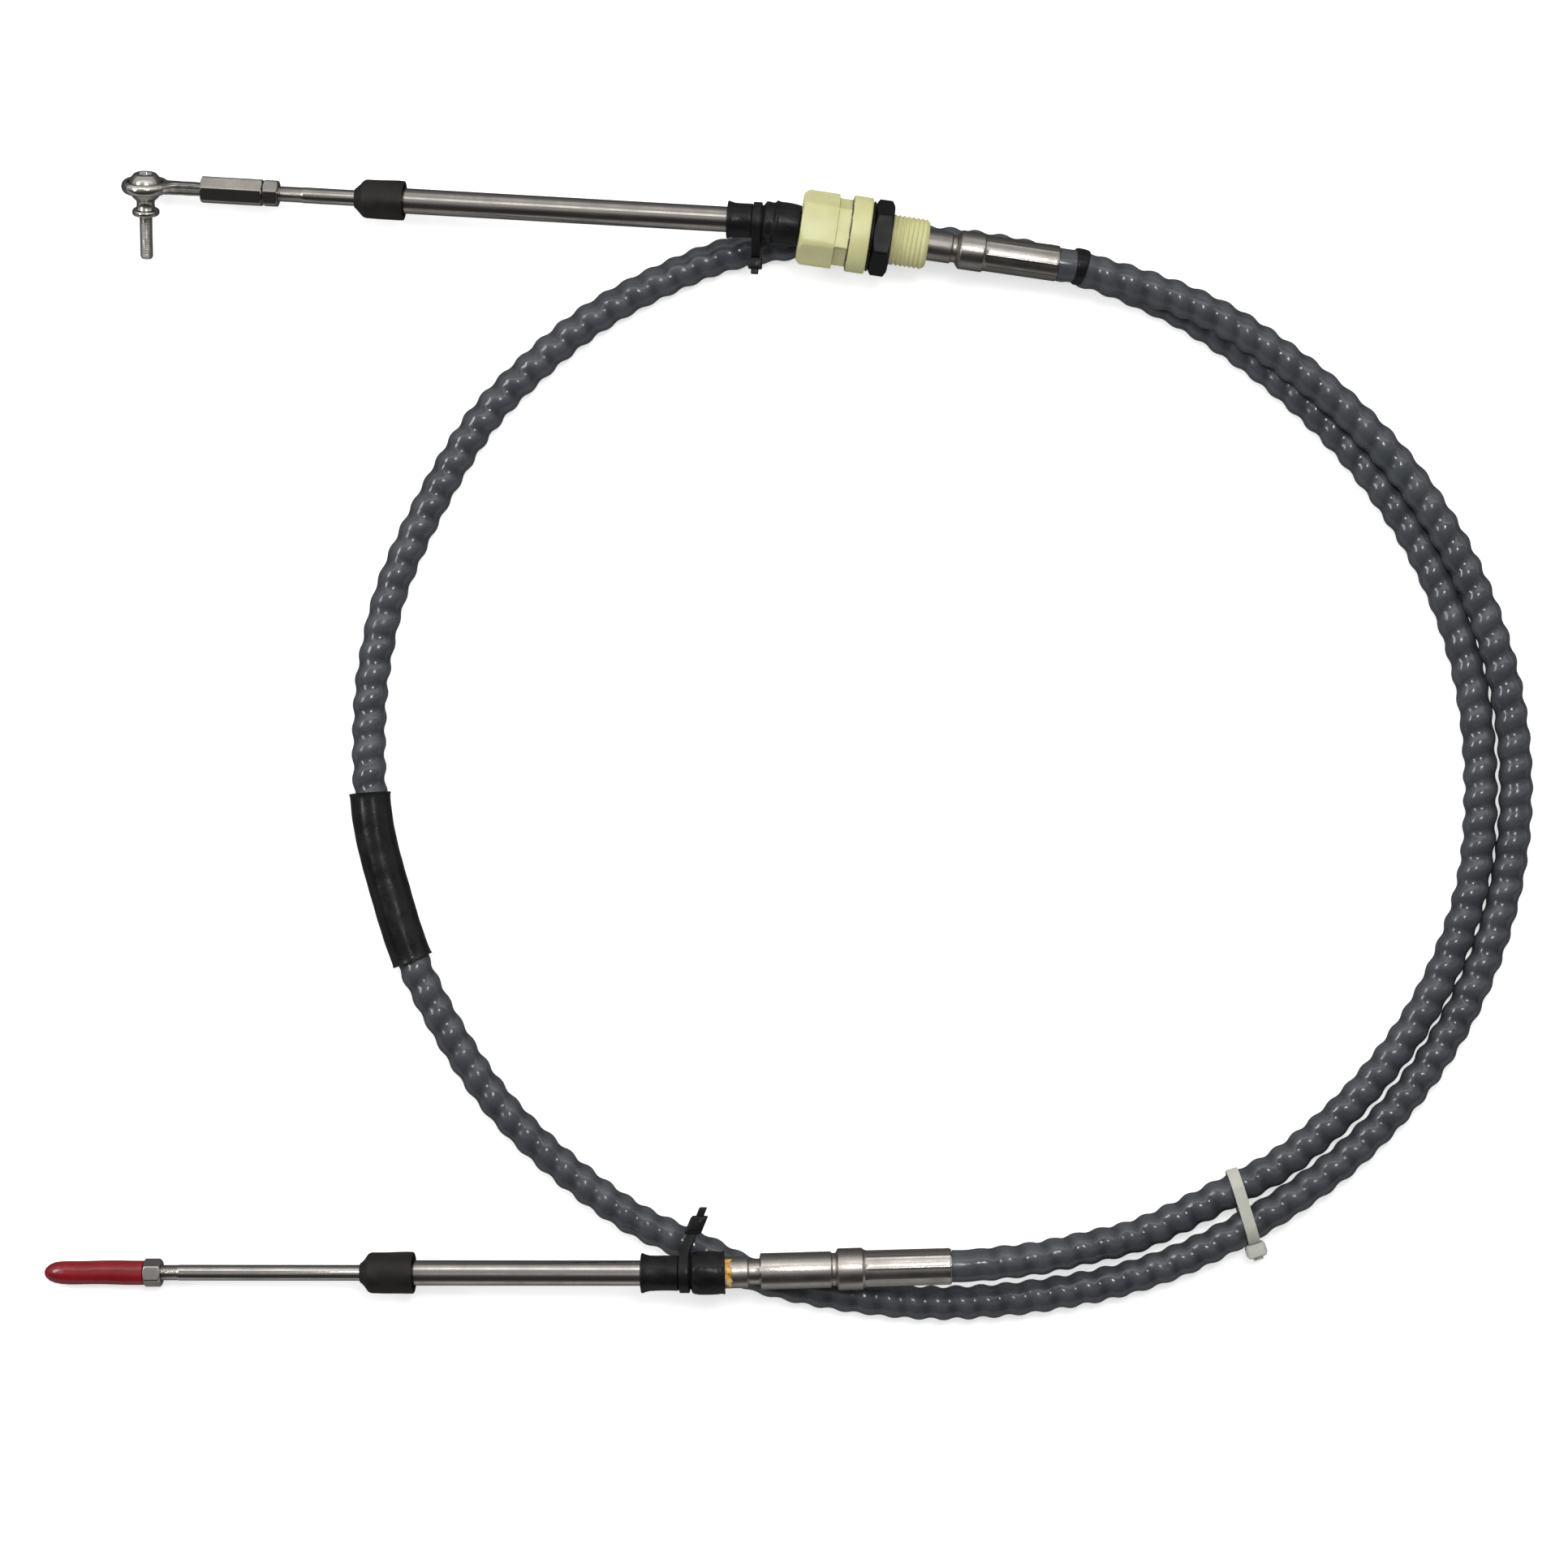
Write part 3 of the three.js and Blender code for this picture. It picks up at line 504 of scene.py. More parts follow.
def rubber(name, colour, rough, grain):
    mat, tree, bsdf = shader(name)
    coords = local_coords(tree)
    broad = noise_node(tree, coords, 90, 4, 0.6)
    fine = noise_node(tree, coords, grain, 3, 0.6)
    dusty = tuple(c * 1.5 + 0.003 for c in colour)
    tone = mix_colour(tree, remap(tree, broad, 0.42, 0.75, 0, 0.8), colour, dusty)
    gloss = remap(tree, broad, 0.3, 0.7, rough - 0.09, rough + 0.14)
    low = bump(tree, noise_node(tree, coords, 220, 3, 0.55), 0.0005, 0.3)
    join_shader(tree, bsdf, tone, gloss, bump(tree, fine, 0.00006, 0.5, low))
    bsdf.inputs["Specular IOR Level"].default_value = 0.2
    return mat


def metal(name, colour, rough, axes, ring=1.0, length=0.0, tint=0.25, bumpy=0.00001):
    """Stainless steel: rings of fine turning marks, or lines along the axis."""
    mat, tree, bsdf = shader(name)
    bsdf.inputs["Metallic"].default_value = 1.0
    coords = local_coords(tree, axes)
    rings = noise_node(tree, local_coords(tree, axes, (30, 5200, 30)), 1.0, 3, 0.7)
    lines = noise_node(tree, local_coords(tree, axes, (2600, 20, 2600)), 1.0, 2, 0.6)
    cloud = noise_node(tree, coords, 70, 4, 0.6)
    specks = noise_node(tree, coords, 900, 2, 0.6)
    marks = math_node(tree, "ADD", math_node(tree, "MULTIPLY", rings, ring),
                      math_node(tree, "MULTIPLY", lines, length))
    darker = tuple(c * (1 - tint) for c in colour)
    tone = mix_colour(tree, remap(tree, cloud, 0.35, 0.7, 0, 1), colour, darker)
    pitted = tuple(c * 0.5 for c in colour)
    tone = mix_colour(tree, remap(tree, specks, 0.66, 0.78, 0, 0.5), tone, pitted)
    base = remap(tree, cloud, 0.3, 0.75, rough * 0.75, rough * 1.35)
    total = ring + length
    uneven = remap(tree, marks, 0.35 * total, 0.7 * total, -0.03, 0.05)
    gloss = math_node(tree, "ADD", base, uneven)
    join_shader(tree, bsdf, tone, gloss, bump(tree, marks, bumpy, 0.8))
    return mat


CREAM = (0.455, 0.45, 0.225)
CREAM_YELLOWED = (0.40, 0.38, 0.17)
CREAM_PALE = (0.49, 0.48, 0.265)
COLLAR_END = 39.1
THREAD_FROM = 62.0


def cream(name, axes):
    """Moulded cream nylon with yellower patches, dust in the seams and black specks."""
    mat, tree, bsdf = shader(name)
    coords = local_coords(tree)
    axial = node(tree, "ShaderNodeSeparateXYZ")
    tree.links.new(local_coords(tree, axes), axial.inputs["Vector"])
    station = axial.outputs["Y"]
    broad = noise_node(tree, coords, 55, 4, 0.6)
    fine = noise_node(tree, coords, 1400, 3, 0.6)
    tone = mix_colour(tree, remap(tree, broad, 0.35, 0.7, 0, 1), CREAM, CREAM_YELLOWED)
    pale = noise_node(tree, coords, 24, 2, 0.5)
    tone = mix_colour(tree, remap(tree, pale, 0.5, 0.72, 0, 0.6), tone, CREAM_PALE)
    # Dirt where the collar meets the flange
    near = math_node(tree, "ABSOLUTE", math_node(tree, "SUBTRACT", station, COLLAR_END * MM))
    line = remap(tree, near, 0.0001, 0.0007, 1, 0)
    ragged = noise_node(tree, coords, 420, 3, 0.7)
    dirt = math_node(tree, "MULTIPLY", line, remap(tree, ragged, 0.36, 0.5, 0, 1))
    tone = mix_colour(tree, dirt, tone, (0.03, 0.025, 0.012))
    # Specks, thicker on the threads
    cells = node(tree, "ShaderNodeTexVoronoi")
    tree.links.new(coords, cells.inputs["Vector"])
    cells.inputs["Scale"].default_value = 420
    dots = remap(tree, cells.outputs["Distance"], 0.07, 0.13, 1, 0)
    where = remap(tree, station, (THREAD_FROM - 7) * MM, THREAD_FROM * MM, 0.06, 0.75)
    patchy = remap(tree, noise_node(tree, coords, 160, 2, 0.5), 0.52, 0.6, 0, 1)
    dots = math_node(tree, "MULTIPLY", math_node(tree, "MULTIPLY", dots, where), patchy)
    tone = mix_colour(tree, dots, tone, (0.05, 0.04, 0.02))
    gloss = remap(tree, broad, 0.3, 0.7, 0.42, 0.58)
    bsdf.inputs["Subsurface Weight"].default_value = 0.12
    bsdf.inputs["Subsurface Radius"].default_value = (0.003, 0.0024, 0.0012)
    low = bump(tree, noise_node(tree, coords, 180, 3, 0.5), 0.0004, 0.25)
    join_shader(tree, bsdf, tone, gloss, bump(tree, fine, 0.00005, 0.5, low))
    return mat


def nylon(name):
    mat, tree, bsdf = shader(name)
    coords = local_coords(tree)
    broad = noise_node(tree, coords, 110, 3, 0.6)
    fine = noise_node(tree, coords, 1600, 2, 0.6)
    white, aged = (0.42, 0.43, 0.40), (0.37, 0.37, 0.31)
    tone = mix_colour(tree, remap(tree, broad, 0.35, 0.7, 0, 1), white, aged)
    gloss = remap(tree, broad, 0.3, 0.7, 0.3, 0.45)
    bsdf.inputs["Subsurface Weight"].default_value = 0.3
    bsdf.inputs["Subsurface Radius"].default_value = (0.003, 0.003, 0.002)
    join_shader(tree, bsdf, tone, gloss, bump(tree, fine, 0.00005, 0.4))
    return mat


def red_vinyl(name, axes):
    mat, tree, bsdf = shader(name)
    coords = local_coords(tree, axes)
    broad = noise_node(tree, coords, 70, 3, 0.6)
    fine = noise_node(tree, coords, 1000, 3, 0.6)
    red, deep = (0.185, 0.007, 0.011), (0.13, 0.005, 0.009)
    tone = mix_colour(tree, remap(tree, broad, 0.35, 0.7, 0, 1), red, deep)
    tone = mix_colour(tree, remap(tree, fine, 0.64, 0.8, 0, 0.25), tone, (0.28, 0.04, 0.04))
    gloss = remap(tree, broad, 0.3, 0.7, 0.16, 0.26)
    low = bump(tree, noise_node(tree, coords, 190, 2, 0.5), 0.0007, 0.4)
    join_shader(tree, bsdf, tone, gloss, bump(tree, fine, 0.00006, 0.4, low))
    return mat


def amber(name):
    """Dried sealant: amber and brown with pale dried patches."""
    mat, tree, bsdf = shader(name)
    coords = local_coords(tree)
    broad = noise_node(tree, coords, 260, 3, 0.6, 0.6)
    tone = ramp(tree, broad, [(0.32, (0.22, 0.075, 0.006)), (0.46, (0.52, 0.24, 0.02)),
                              (0.56, (0.62, 0.40, 0.06)), (0.68, (0.62, 0.56, 0.42))])
    gloss = remap(tree, broad, 0.3, 0.7, 0.2, 0.5)
    lumps = noise_node(tree, coords, 900, 3, 0.6)
    join_shader(tree, bsdf, tone, gloss, bump(tree, lumps, 0.0003, 0.6))
    return mat


STEEL = (0.56, 0.53, 0.50)
SATIN = (0.50, 0.47, 0.44)
hose_mat = vinyl("hose_vinyl", (0.036, 0.039, 0.045), (0.052, 0.056, 0.062), 0.19, "rib")
sleeve_mat = rubber("sleeve_rubber", (0.006, 0.006, 0.0065), 0.24, 1800)
band_mat = rubber("band_vinyl", (0.005, 0.005, 0.0055), 0.25, 1800)
boot_mat = rubber("boot_rubber", (0.0055, 0.0055, 0.006), 0.30, 1500)
tie_mat = rubber("tie_nylon", (0.006, 0.006, 0.0065), 0.32, 1700)
cap_mat = rubber("wiper_plastic", (0.0095, 0.0086, 0.0076), 0.46, 1200)
nut_mat = rubber("hull_nut_plastic", (0.003, 0.003, 0.0033), 0.42, 1300)
cream_mat = cream("cream_nylon", UPPER_HUB)
white_mat = nylon("white_nylon_tie")
red_mat = red_vinyl("red_vinyl_cap", LOWER_TUBE)
amber_mat = amber("amber_sealant")
# The upper bright and satin steels are the lower steels painted darker: painted shade on the upper tube,
# rod, jam nut and hub
upper_bright_painted_shade = metal("bright_steel_upper_painted_shade", (0.47, 0.445, 0.415), 0.20, UPPER_TUBE, 0.4, 0.8)
lower_bright = metal("bright_steel_lower", STEEL, 0.18, LOWER_TUBE, 0.4, 0.8)
upper_satin_painted_shade = metal("satin_steel_upper_painted_shade", (0.38, 0.36, 0.335), 0.30, UPPER_HUB, 1.0, 0.2)
lower_satin = metal("satin_steel_lower", SATIN, 0.30, LOWER_HUB, 1.0, 0.2)
forged_mat = metal("forged_steel", (0.60, 0.575, 0.53), 0.22, UPPER_TUBE, 0.3, 0.5, 0.35, 0.00002)
coupler_mat = metal("coupler_steel", (0.50, 0.475, 0.43), 0.18, UPPER_TUBE, 0.3, 0.6, 0.3)
stud_mat = metal("stud_steel", (0.52, 0.50, 0.47), 0.22, BALL, 0.7, 0.2)


# Hose: a ribbed vinyl jacket, its ribs wound as one right-handed helix
hose_line = smooth_curve(HOSE_POINTS)
HOSE_RINGS, HOSE_SIDES = 2400, 28
hose_path, hose_length = even_points(hose_line, HOSE_RINGS)


def rib_height(phase):
    """Height of the jacket over its mean, from the turn past a rib's crest."""
    skewed = phase + 0.22 * np.sin(phase)
    return 0.60 * np.cos(skewed) - 0.09 * np.cos(2 * skewed)


def make_hose():
    at = np.linspace(0, hose_length, HOSE_RINGS)
    line = hose_path.copy()
    line[:, 2] += HOSE_LIFT * np.clip(np.minimum(at, hose_length - at) / 30, 0, 1)
    normal, other = carried_frames(line)
    angle = 2 * np.pi * np.arange(HOSE_SIDES) / HOSE_SIDES
    phase = 2 * np.pi * at[:, None] / RIB_PITCH - angle[None, :]
    wander = 0.35 * np.sin(at / 61.0) + 0.25 * np.sin(at / 23.0 + 1.3)
    height = rib_height(phase + wander[:, None])
    fade = np.clip((np.minimum(at, hose_length - at) - 7) / 14, 0.1, 1)[:, None]
    vary = 1 + 0.12 * np.sin(at / 37.0)[:, None] + 0.1 * np.sin(at[:, None] / 11.0 + 2 * angle)
    radius = JACKET_RADIUS - 0.15 * (1 - fade) + height * fade * vary
    ring = (line[:, None, :] + normal[:, None, :] * (radius * np.cos(angle))[:, :, None]
            + other[:, None, :] * (radius * np.sin(angle))[:, :, None])
    points = ring.reshape(-1, 3)
    faces = ring_faces(HOSE_RINGS, HOSE_SIDES, False)
    faces.append(tuple(range(HOSE_SIDES)))
    faces.append(tuple(range((HOSE_RINGS - 1) * HOSE_SIDES, HOSE_RINGS * HOSE_SIDES)))
    made = piece("hose_jacket", points, faces, hose_mat, 60)
    # The rib height is kept on the mesh; the hose material paints shade into the grooves and a highlight
    # on the crests from it
    rib = made.data.attributes.new("rib", "FLOAT", "POINT")
    rib.data.foreach_set("value", (0.5 + 0.72 * height * fade).ravel().astype(np.float32))
    return made, line


hose, hose_centre = make_hose()
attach(hose, "cable")
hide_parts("hose")


def place_on_hose(x, y):
    flat = np.hypot(hose_centre[:, 0] - x, hose_centre[:, 1] - y)
    return int(np.argmin(flat))


def tube_on_hose(name, first, last, inner, outer, mat, rings, sides=48):
    """An open tube round the hose from one ring of it to another; outer may vary."""
    span = np.linspace(first, last, rings)
    index = np.arange(HOSE_RINGS)
    line = np.column_stack([np.interp(span, index, hose_centre[:, k]) for k in range(3)])
    normal, other = carried_frames(line)
    angle = 2 * np.pi * np.arange(sides) / sides
    share = np.linspace(0, 1, rings)
    rows = []
    for i in range(rings):
        rows.append((i, outer(share[i], angle)))
    for i in reversed(range(rings)):
        rows.append((i, inner))
    points = []
    for i, radius in rows:
        points.append(line[i] + normal[i] * (radius * np.cos(angle))[:, None]
                      + other[i] * (radius * np.sin(angle))[:, None])
    return piece(name, np.vstack(points), ring_faces(len(rows), sides, True), mat, 50)


def sleeve_radius(share, angle):
    """Shrunk sleeve: the ribs show faintly through it and its ends stand off a little."""
    ghost = 0.05 * math.cos(2 * math.pi * share * 88 / RIB_PITCH)
    lip = 0.35 * math.exp(-((min(share, 1 - share)) / 0.012) ** 2)
    crease = 0.18 * np.cos(3 * angle + 5 * share) + 0.10 * np.cos(7 * angle - 9 * share)
    return 10.15 + ghost + lip + crease * 0.6


sleeve_from, sleeve_to = sorted(place_on_hose(x, y) for x, y in SLEEVE_ENDS)
sleeve = tube_on_hose("sleeve", sleeve_from, sleeve_to, 8.85, sleeve_radius, sleeve_mat, 120)
band_at = place_on_hose(*BAND_AT)
BAND_HALF = 2.7 / (hose_length / HOSE_RINGS)


def band_radius(share, angle):
    edge = min(share, 1 - share)
    return 9.25 - 0.35 * math.exp(-(edge / 0.09) ** 2) + 0.06 * np.cos(2 * angle)


band = tube_on_hose("tape_band", band_at - BAND_HALF, band_at + BAND_HALF,
                    8.3, band_radius, band_mat, 16)


def bundle_axes():
    a, b = np.array(BUNDLE_TIE_AT), np.array(BUNDLE_TIE_TO)
    x = (b - a) / np.linalg.norm(b - a)
    z = np.array([0.0, 0.0, 1.0])
    return (np.column_stack([x, np.cross(z, x), z]), a), float(np.linalg.norm(b - a))


def make_bundle_tie():
    axes, apart = bundle_axes()
    loop = strap_loop((0, 0, 8.95), (apart, 0, 8.95), 1.15, 6.0, 0)
    head = rounded_box((-17.0, -4.8, -3.4), (-9.6, 4.8, 2.6), 1.1)
    lip = rounded_box((-16.0, -5.3, -2.4), (-10.9, 5.3, 1.6), 0.8)
    tail = rounded_box((-18.6, -2.6, -1.3), (-15.5, 2.6, 0.1), 0.5)
    points, faces = joined(loop, head, lip, tail)
    return piece("white_tie", placed(points, axes), faces, white_mat, 40)


white_tie = make_bundle_tie()

for made, node_name, slot in (
    (sleeve, "hose_sleeve", "black_rubber"),
    (band, "marker_band", "black_plastic"),
    (white_tie, "bundle_tie", "white_nylon"),
):
    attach(made, "cable")
    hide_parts(node_name)


# Rods, tubes and wiper caps
def thread(low, high, pitch, depth, least, fade=1.0):
    """Helical thread between two stations on the surface outside radius least."""
    def shape(radius, station, angle):
        turn = (station / pitch - angle / (2 * np.pi)) % 1.0
        saw = np.abs(2 * turn - 1)
        inside = np.clip((station - low) / fade, 0, 1) * np.clip((high - station) / fade, 0, 1)
        return np.where(radius > least, radius - depth * saw * inside, radius), station
    return shape


def put(name, made, axes, body, node_name, mat, sharp=38):
    points, faces = made
    obj = piece(name, placed(points, axes), faces, mat, sharp)
    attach(obj, body)
    if node_name:
        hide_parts(node_name)


def ball_arc(radius, first, last, count):
    """Outline points on a ball, by degrees from its widest place."""
    return [(radius * math.cos(math.radians(a)), radius * math.sin(math.radians(a)))
            for a in np.linspace(first, last, count)]


def guide_tube(end):
    edge = math.degrees(math.asin(TUBE_RADIUS / SWIVEL_BALL))
    ball = ball_arc(SWIVEL_BALL, -45, 90 - edge, 12)
    outline = [(TUBE_BORE, -5.4)] + ball
    outline += [(TUBE_RADIUS, end - 0.3), (TUBE_RADIUS, end), (TUBE_BORE, end)]
    return turned(round_corners(outline, 0.3), 96)


def rod(start, end, low, high, pitch=0.95):
    outline = [(0, start), (3.5, start), (ROD_RADIUS, start + 0.6), (ROD_RADIUS, low - 0.5)]
    outline += [(ROD_RADIUS, s) for s in np.arange(low, high, pitch / 8)]
    outline += [(ROD_RADIUS, end - 0.9), (3.2, end), (0, end)]
    return turned(outline, 64, thread(low, high, pitch, 0.32, 3.9))


put("guide_tube_upper", guide_tube(UPPER_TUBE_END), UPPER_TUBE, "upper_guide",
    "upper_tube", upper_bright_painted_shade)
put("guide_tube_lower", guide_tube(LOWER_TUBE_END), LOWER_TUBE, "lower_guide",
    "lower_tube", lower_bright)
put("rod_upper", rod(50, 264, 234.5, 262), UPPER_TUBE, "upper_ram",
    "upper_rod", upper_bright_painted_shade, 50)
put("rod_lower", rod(96, 314, 262, 312), LOWER_TUBE, "lower_ram",
    "lower_rod", lower_bright, 50)


def wiper_cap(mouth, shoulder, nose, radius, tube_end):
    outline = [
        (radius, mouth), (radius + 0.1, mouth + 3), (radius - 0.2, shoulder - 1.6),
        (radius - 0.8, shoulder - 0.2), (6.6, shoulder + 2.0), (5.2, nose - 0.6), (4.9, nose),
        (ROD_BORE, nose), (ROD_BORE, tube_end + 0.3), (6.65, tube_end + 0.3),
        (6.65, mouth + 4.5), (radius - 1.5, mouth + 3.0), (radius - 1.2, mouth),
    ]

    def uneven(r, s, a):
        return r + np.where(r > 8, 0.07 * np.cos(3 * a + s * 0.3) + 0.04 * np.cos(7 * a), 0), s
    return turned(spread(round_corners(outline, 0.7, 4), 1.5), 72, uneven)


put("wiper_cap_upper", wiper_cap(183.8, 204.6, 208.7, 9.8, UPPER_TUBE_END), UPPER_TUBE, "upper_guide",
    "upper_wiper_cap", cap_mat)
put("wiper_cap_lower", wiper_cap(143.2, 166.2, 170.3, 10.4, LOWER_TUBE_END), LOWER_TUBE, "lower_guide",
    "lower_wiper_cap", cap_mat)

# Nuts and coupler
put("jam_nut_upper", hex_nut(12.4, 247.2, 254.8, 0, ROD_BORE, 0.8), UPPER_TUBE, "upper_ram",
    "upper_jam_nut", upper_bright_painted_shade, 30)
put("coupler", hex_nut(12.6, 255.1, 286.2, 0, ROD_BORE, 0.6), UPPER_TUBE, "upper_ram",
    "hex_coupler", coupler_mat, 30)
put("jam_nut_lower", hex_nut(12.7, 270.9, 279.9, 30, ROD_BORE, 0.9), LOWER_TUBE, "lower_ram",
    "lower_jam_nut", lower_bright, 30)


# Red end cap: a dipped vinyl tube with a pointed dome
def make_red_cap():
    outline = [(0, 317.0), (3.4, 316.4), (ROD_BORE, 315.4), (ROD_BORE, 280.2), (6.0, 280.2), (6.05, 282)]
    outline += [(6.0, s) for s in np.arange(285, 317, 2.0)]
    outline += [(5.95, 318.6), (5.7, 322.2), (5.15, 325.4), (4.1, 328.0), (2.5, 329.9), (1.1, 330.6)]
    outline += [(0, LOWER_LENGTH)]

    def uneven(r, s, a):
        wave = 0.13 * np.sin(s / 5.3 + 2 * np.cos(a)) + 0.10 * np.cos(2 * a + s / 9)
        return np.where(r > 4.6, r + wave, r), s
    return turned(outline, 72, uneven)


put("red_end_cap", make_red_cap(), LOWER_TUBE, "cap", "red_cap", red_mat, 50)


# Hubs: turned noses and shoulders with a fluted crimp at the hose end
def flutes(start, count, depth, least, phase):
    """Flat crimp marks between narrow ridges, past a station."""
    def shape(radius, station, angle):
        sector = 2 * math.pi / count
        phi = (angle - phase + sector / 2) % sector - sector / 2
        ridge = np.exp(-(np.abs(np.abs(phi) - sector / 2) * radius / 0.55) ** 2)
        cut = 0.65 * depth * (1 - ridge)
        inside = np.clip((station - start) / 0.8, 0, 1)
        return np.where(radius > least, radius - cut * inside, radius), station
    return shape


SOCKET = [(7.9 * math.cos(math.radians(a)), 7.9 * math.sin(math.radians(a)))
          for a in np.linspace(54, -19.2, 9)]


def upper_hub():
    end = UPPER_HUB_LENGTH
    crimp = [(8.95, s) for s in np.arange(108.4, end - 1.2, 1.2)]
    outline = [
        (3.2, end), (3.2, 9.0), *SOCKET, (8.9, -2.6), (9.0, -2.2), (9.0, 8.0), (7.7, 9.6),
        (7.7, 90.4), (6.9, 90.9), (6.9, 93.0), (7.5, 93.2), (9.5, 94.9), (9.7, 95.4), (9.7, 106.3),
        (9.55, 106.8), (8.95, 107.4), *crimp, (8.95, end - 0.7), (8.3, end),
    ]
    return turned(round_corners(outline, 0.3, 2), 144, flutes(107.6, 8, 0.45, 8.6, 0.2))


def lower_hub():
    end = LOWER_HUB_LENGTH
    crimp = [(9.4, s) for s in np.arange(84.0, end - 1.2, 1.2)]
    outline = [
        (3.2, end), (3.2, 9.0), *SOCKET, (8.9, -2.6), (9.0, -2.2), (9.0, 8.0), (8.0, 9.6),
        (8.0, 24.2), (7.6, 24.7), (6.5, 24.9), (6.5, 30.4), (8.9, 30.9), (9.1, 31.2), (9.1, 66.0),
        (8.3, 66.6), (8.3, 68.4), (10.3, 69.4), (10.5, 69.8), (10.5, 81.6), (9.4, 82.8),
        *crimp, (9.4, end - 0.6), (8.8, end),
    ]
    return turned(round_corners(outline, 0.3, 2), 144, flutes(83.2, 10, 0.4, 9.0, 0.1))


put("hub_upper", upper_hub(), UPPER_HUB, "cable", "upper_hub", upper_satin_painted_shade, 32)
put("hub_lower", lower_hub(), LOWER_HUB, "cable", "lower_hub", lower_satin, 32)


# Hull fitting
def hull_collar():
    outline = [
        (8.0, 39.0), (8.0, 22.0), (11.4, 20.5), (11.4, 14.6), (16.6, 14.6), (19.0, 17.1),
        (19.0, 32.4), (18.8, 32.6), (18.7, 33.2), (18.7, 39.0),
    ]

    def shape(radius, station, angle):
        phi = (angle - math.pi / 2 + math.pi / 6) % (math.pi / 3) - math.pi / 6
        wide = soft_min(16.8 / np.cos(phi), 18.7, 0.35)
        rise = np.abs(np.sin(angle))
        low = soft_min(15.1 / np.cos(phi), 16.7, 0.25)
        step = np.where(rise > math.cos(math.radians(31.9)), 16.25 / np.maximum(rise, 0.5), low)
        share = np.clip((station - 32.3) / 0.3, 0, 1)
        limit = wide * (1 - share) + step * share
        return np.where(radius > 12, soft_min(radius, limit, 0.3), radius), station
    return turned(spread(round_corners(outline, 0.5, 3), 0.7), 288, shape)


def hull_body():
    barrel = [(12.3, s) for s in np.arange(60.9, 76.6, 0.2)]
    outline = [
        (8.0, 39.3), (18.5, 39.3), (18.95, 39.8), (18.95, 48.5), (18.4, 49.1), (12.15, 49.1),
        (12.15, 60.6), *barrel, (12.1, 76.9), (11.9, 77.4), (10.7, 78.6), (8.0, 78.6),
    ]

    def ridges(radius, station, angle):
        turn = (station / 2.3 - angle / (2 * np.pi)) % 1.0
        wave = 0.5 - 0.5 * np.cos(2 * np.pi * turn)
        inside = np.clip((station - 61) / 1.0, 0, 1) * np.clip((77.4 - station) / 1.0, 0, 1)
        cut = 0.75 * wave ** 1.4 * inside
        return np.where((radius > 12.0) & (radius < 12.6), radius + 0.2 - cut, radius), station
    return turned(round_corners(outline, 0.5, 3), 128, ridges)


def hull_washer():
    outline = [
        (12.4, 49.3), (16.6, 49.3), (17.3, 49.6), (17.5, 50.0), (17.3, 50.5), (16.6, 50.7), (12.4, 50.7),
    ]
    return turned(round_corners(outline, 0.3, 3), 96)


put("fitting_collar", hull_collar(), UPPER_HUB, "cable",
    "hull_collar", cream_mat, 28)
put("fitting_body", hull_body(), UPPER_HUB, "cable", "hull_body", cream_mat, 50)
put("fitting_washer", hull_washer(), UPPER_HUB, "cable", "hull_washer", band_mat)
put("fitting_nut", hex_nut(33.4, 50.8, 60.1, 30, 12.4, 0.5, 192), UPPER_HUB, "cable",
    "hull_nut", nut_mat, 30)


# Rubber boots and the ties that hold them
def bend_with_swivel(obj, node_name):
    """Bake the piece's placement into its mesh and hide its CAD node."""
    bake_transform(obj)
    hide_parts(node_name)


def make_boot(name, outline, tube_axes, hub_axes, wrinkle, node_name):
    rows = spread(round_corners(outline, 0.45, 3), 1.1)
    points, faces = turned(rows, 72, wrinkle)
    turned_back = points * np.array([-1, -1, 1])
    on_tube, on_hub = placed(turned_back, tube_axes), placed(points, hub_axes)
    share = np.clip((points[:, 1] + 4.6) / 1.6, 0, 1)
    share = (share * share * (3 - 2 * share))[:, None]
    obj = piece(name, on_tube * (1 - share) + on_hub * share, faces, boot_mat, 55)
    bend_with_swivel(obj, node_name)


def boot_wrinkle(seed):
    def shape(radius, station, angle):
        outside = radius > SWIVEL_BALL
        wave = 0.10 * np.cos(2 * angle + seed) + 0.07 * np.cos(5 * angle + station * 0.35 + seed)
        pinch = 0.18 * np.cos(9 * angle + seed) * np.exp(-((station + 2.6) / 2.2) ** 2)
        return np.where(outside, radius + wave + pinch, radius), station
    return shape


make_boot("boot_upper", [
    (6.65, -21.4), (9.15, -21.7), (9.3, -21.2), (8.95, -20.0), (8.55, -18.6), (8.4, -16.0), (8.35, -9.6),
    (7.85, -9.1), (7.85, -3.9), (9.7, -3.4), (9.9, -2.0), (9.7, 0.2), (9.9, 1.0), (10.9, 1.7),
    (11.0, 2.6), (10.6, 3.4), (10.6, 8.4), (10.3, 12.0), (10.0, 14.3), (8.0, 14.3), (8.1, 10.8),
    (9.3, 9.2), (9.4, -3.0), (6.7, -4.6),
], UPPER_TUBE, UPPER_HUB, boot_wrinkle(0.4), "upper_boot")
make_boot("boot_lower", [
    (6.65, -28.4), (9.9, -28.7), (10.1, -28.1), (9.4, -26.4), (8.95, -24.6), (8.8, -21.0), (8.8, -10.2),
    (8.0, -9.7), (8.0, -3.9), (9.9, -3.3), (10.5, -2.0), (10.9, 0.0), (11.0, 5.0), (10.8, 9.4),
    (10.5, 11.2), (11.0, 13.1), (8.3, 13.1), (8.3, 10.8), (9.3, 9.2), (9.4, -3.0), (6.7, -4.6),
], LOWER_TUBE, LOWER_HUB, boot_wrinkle(1.9), "lower_boot")


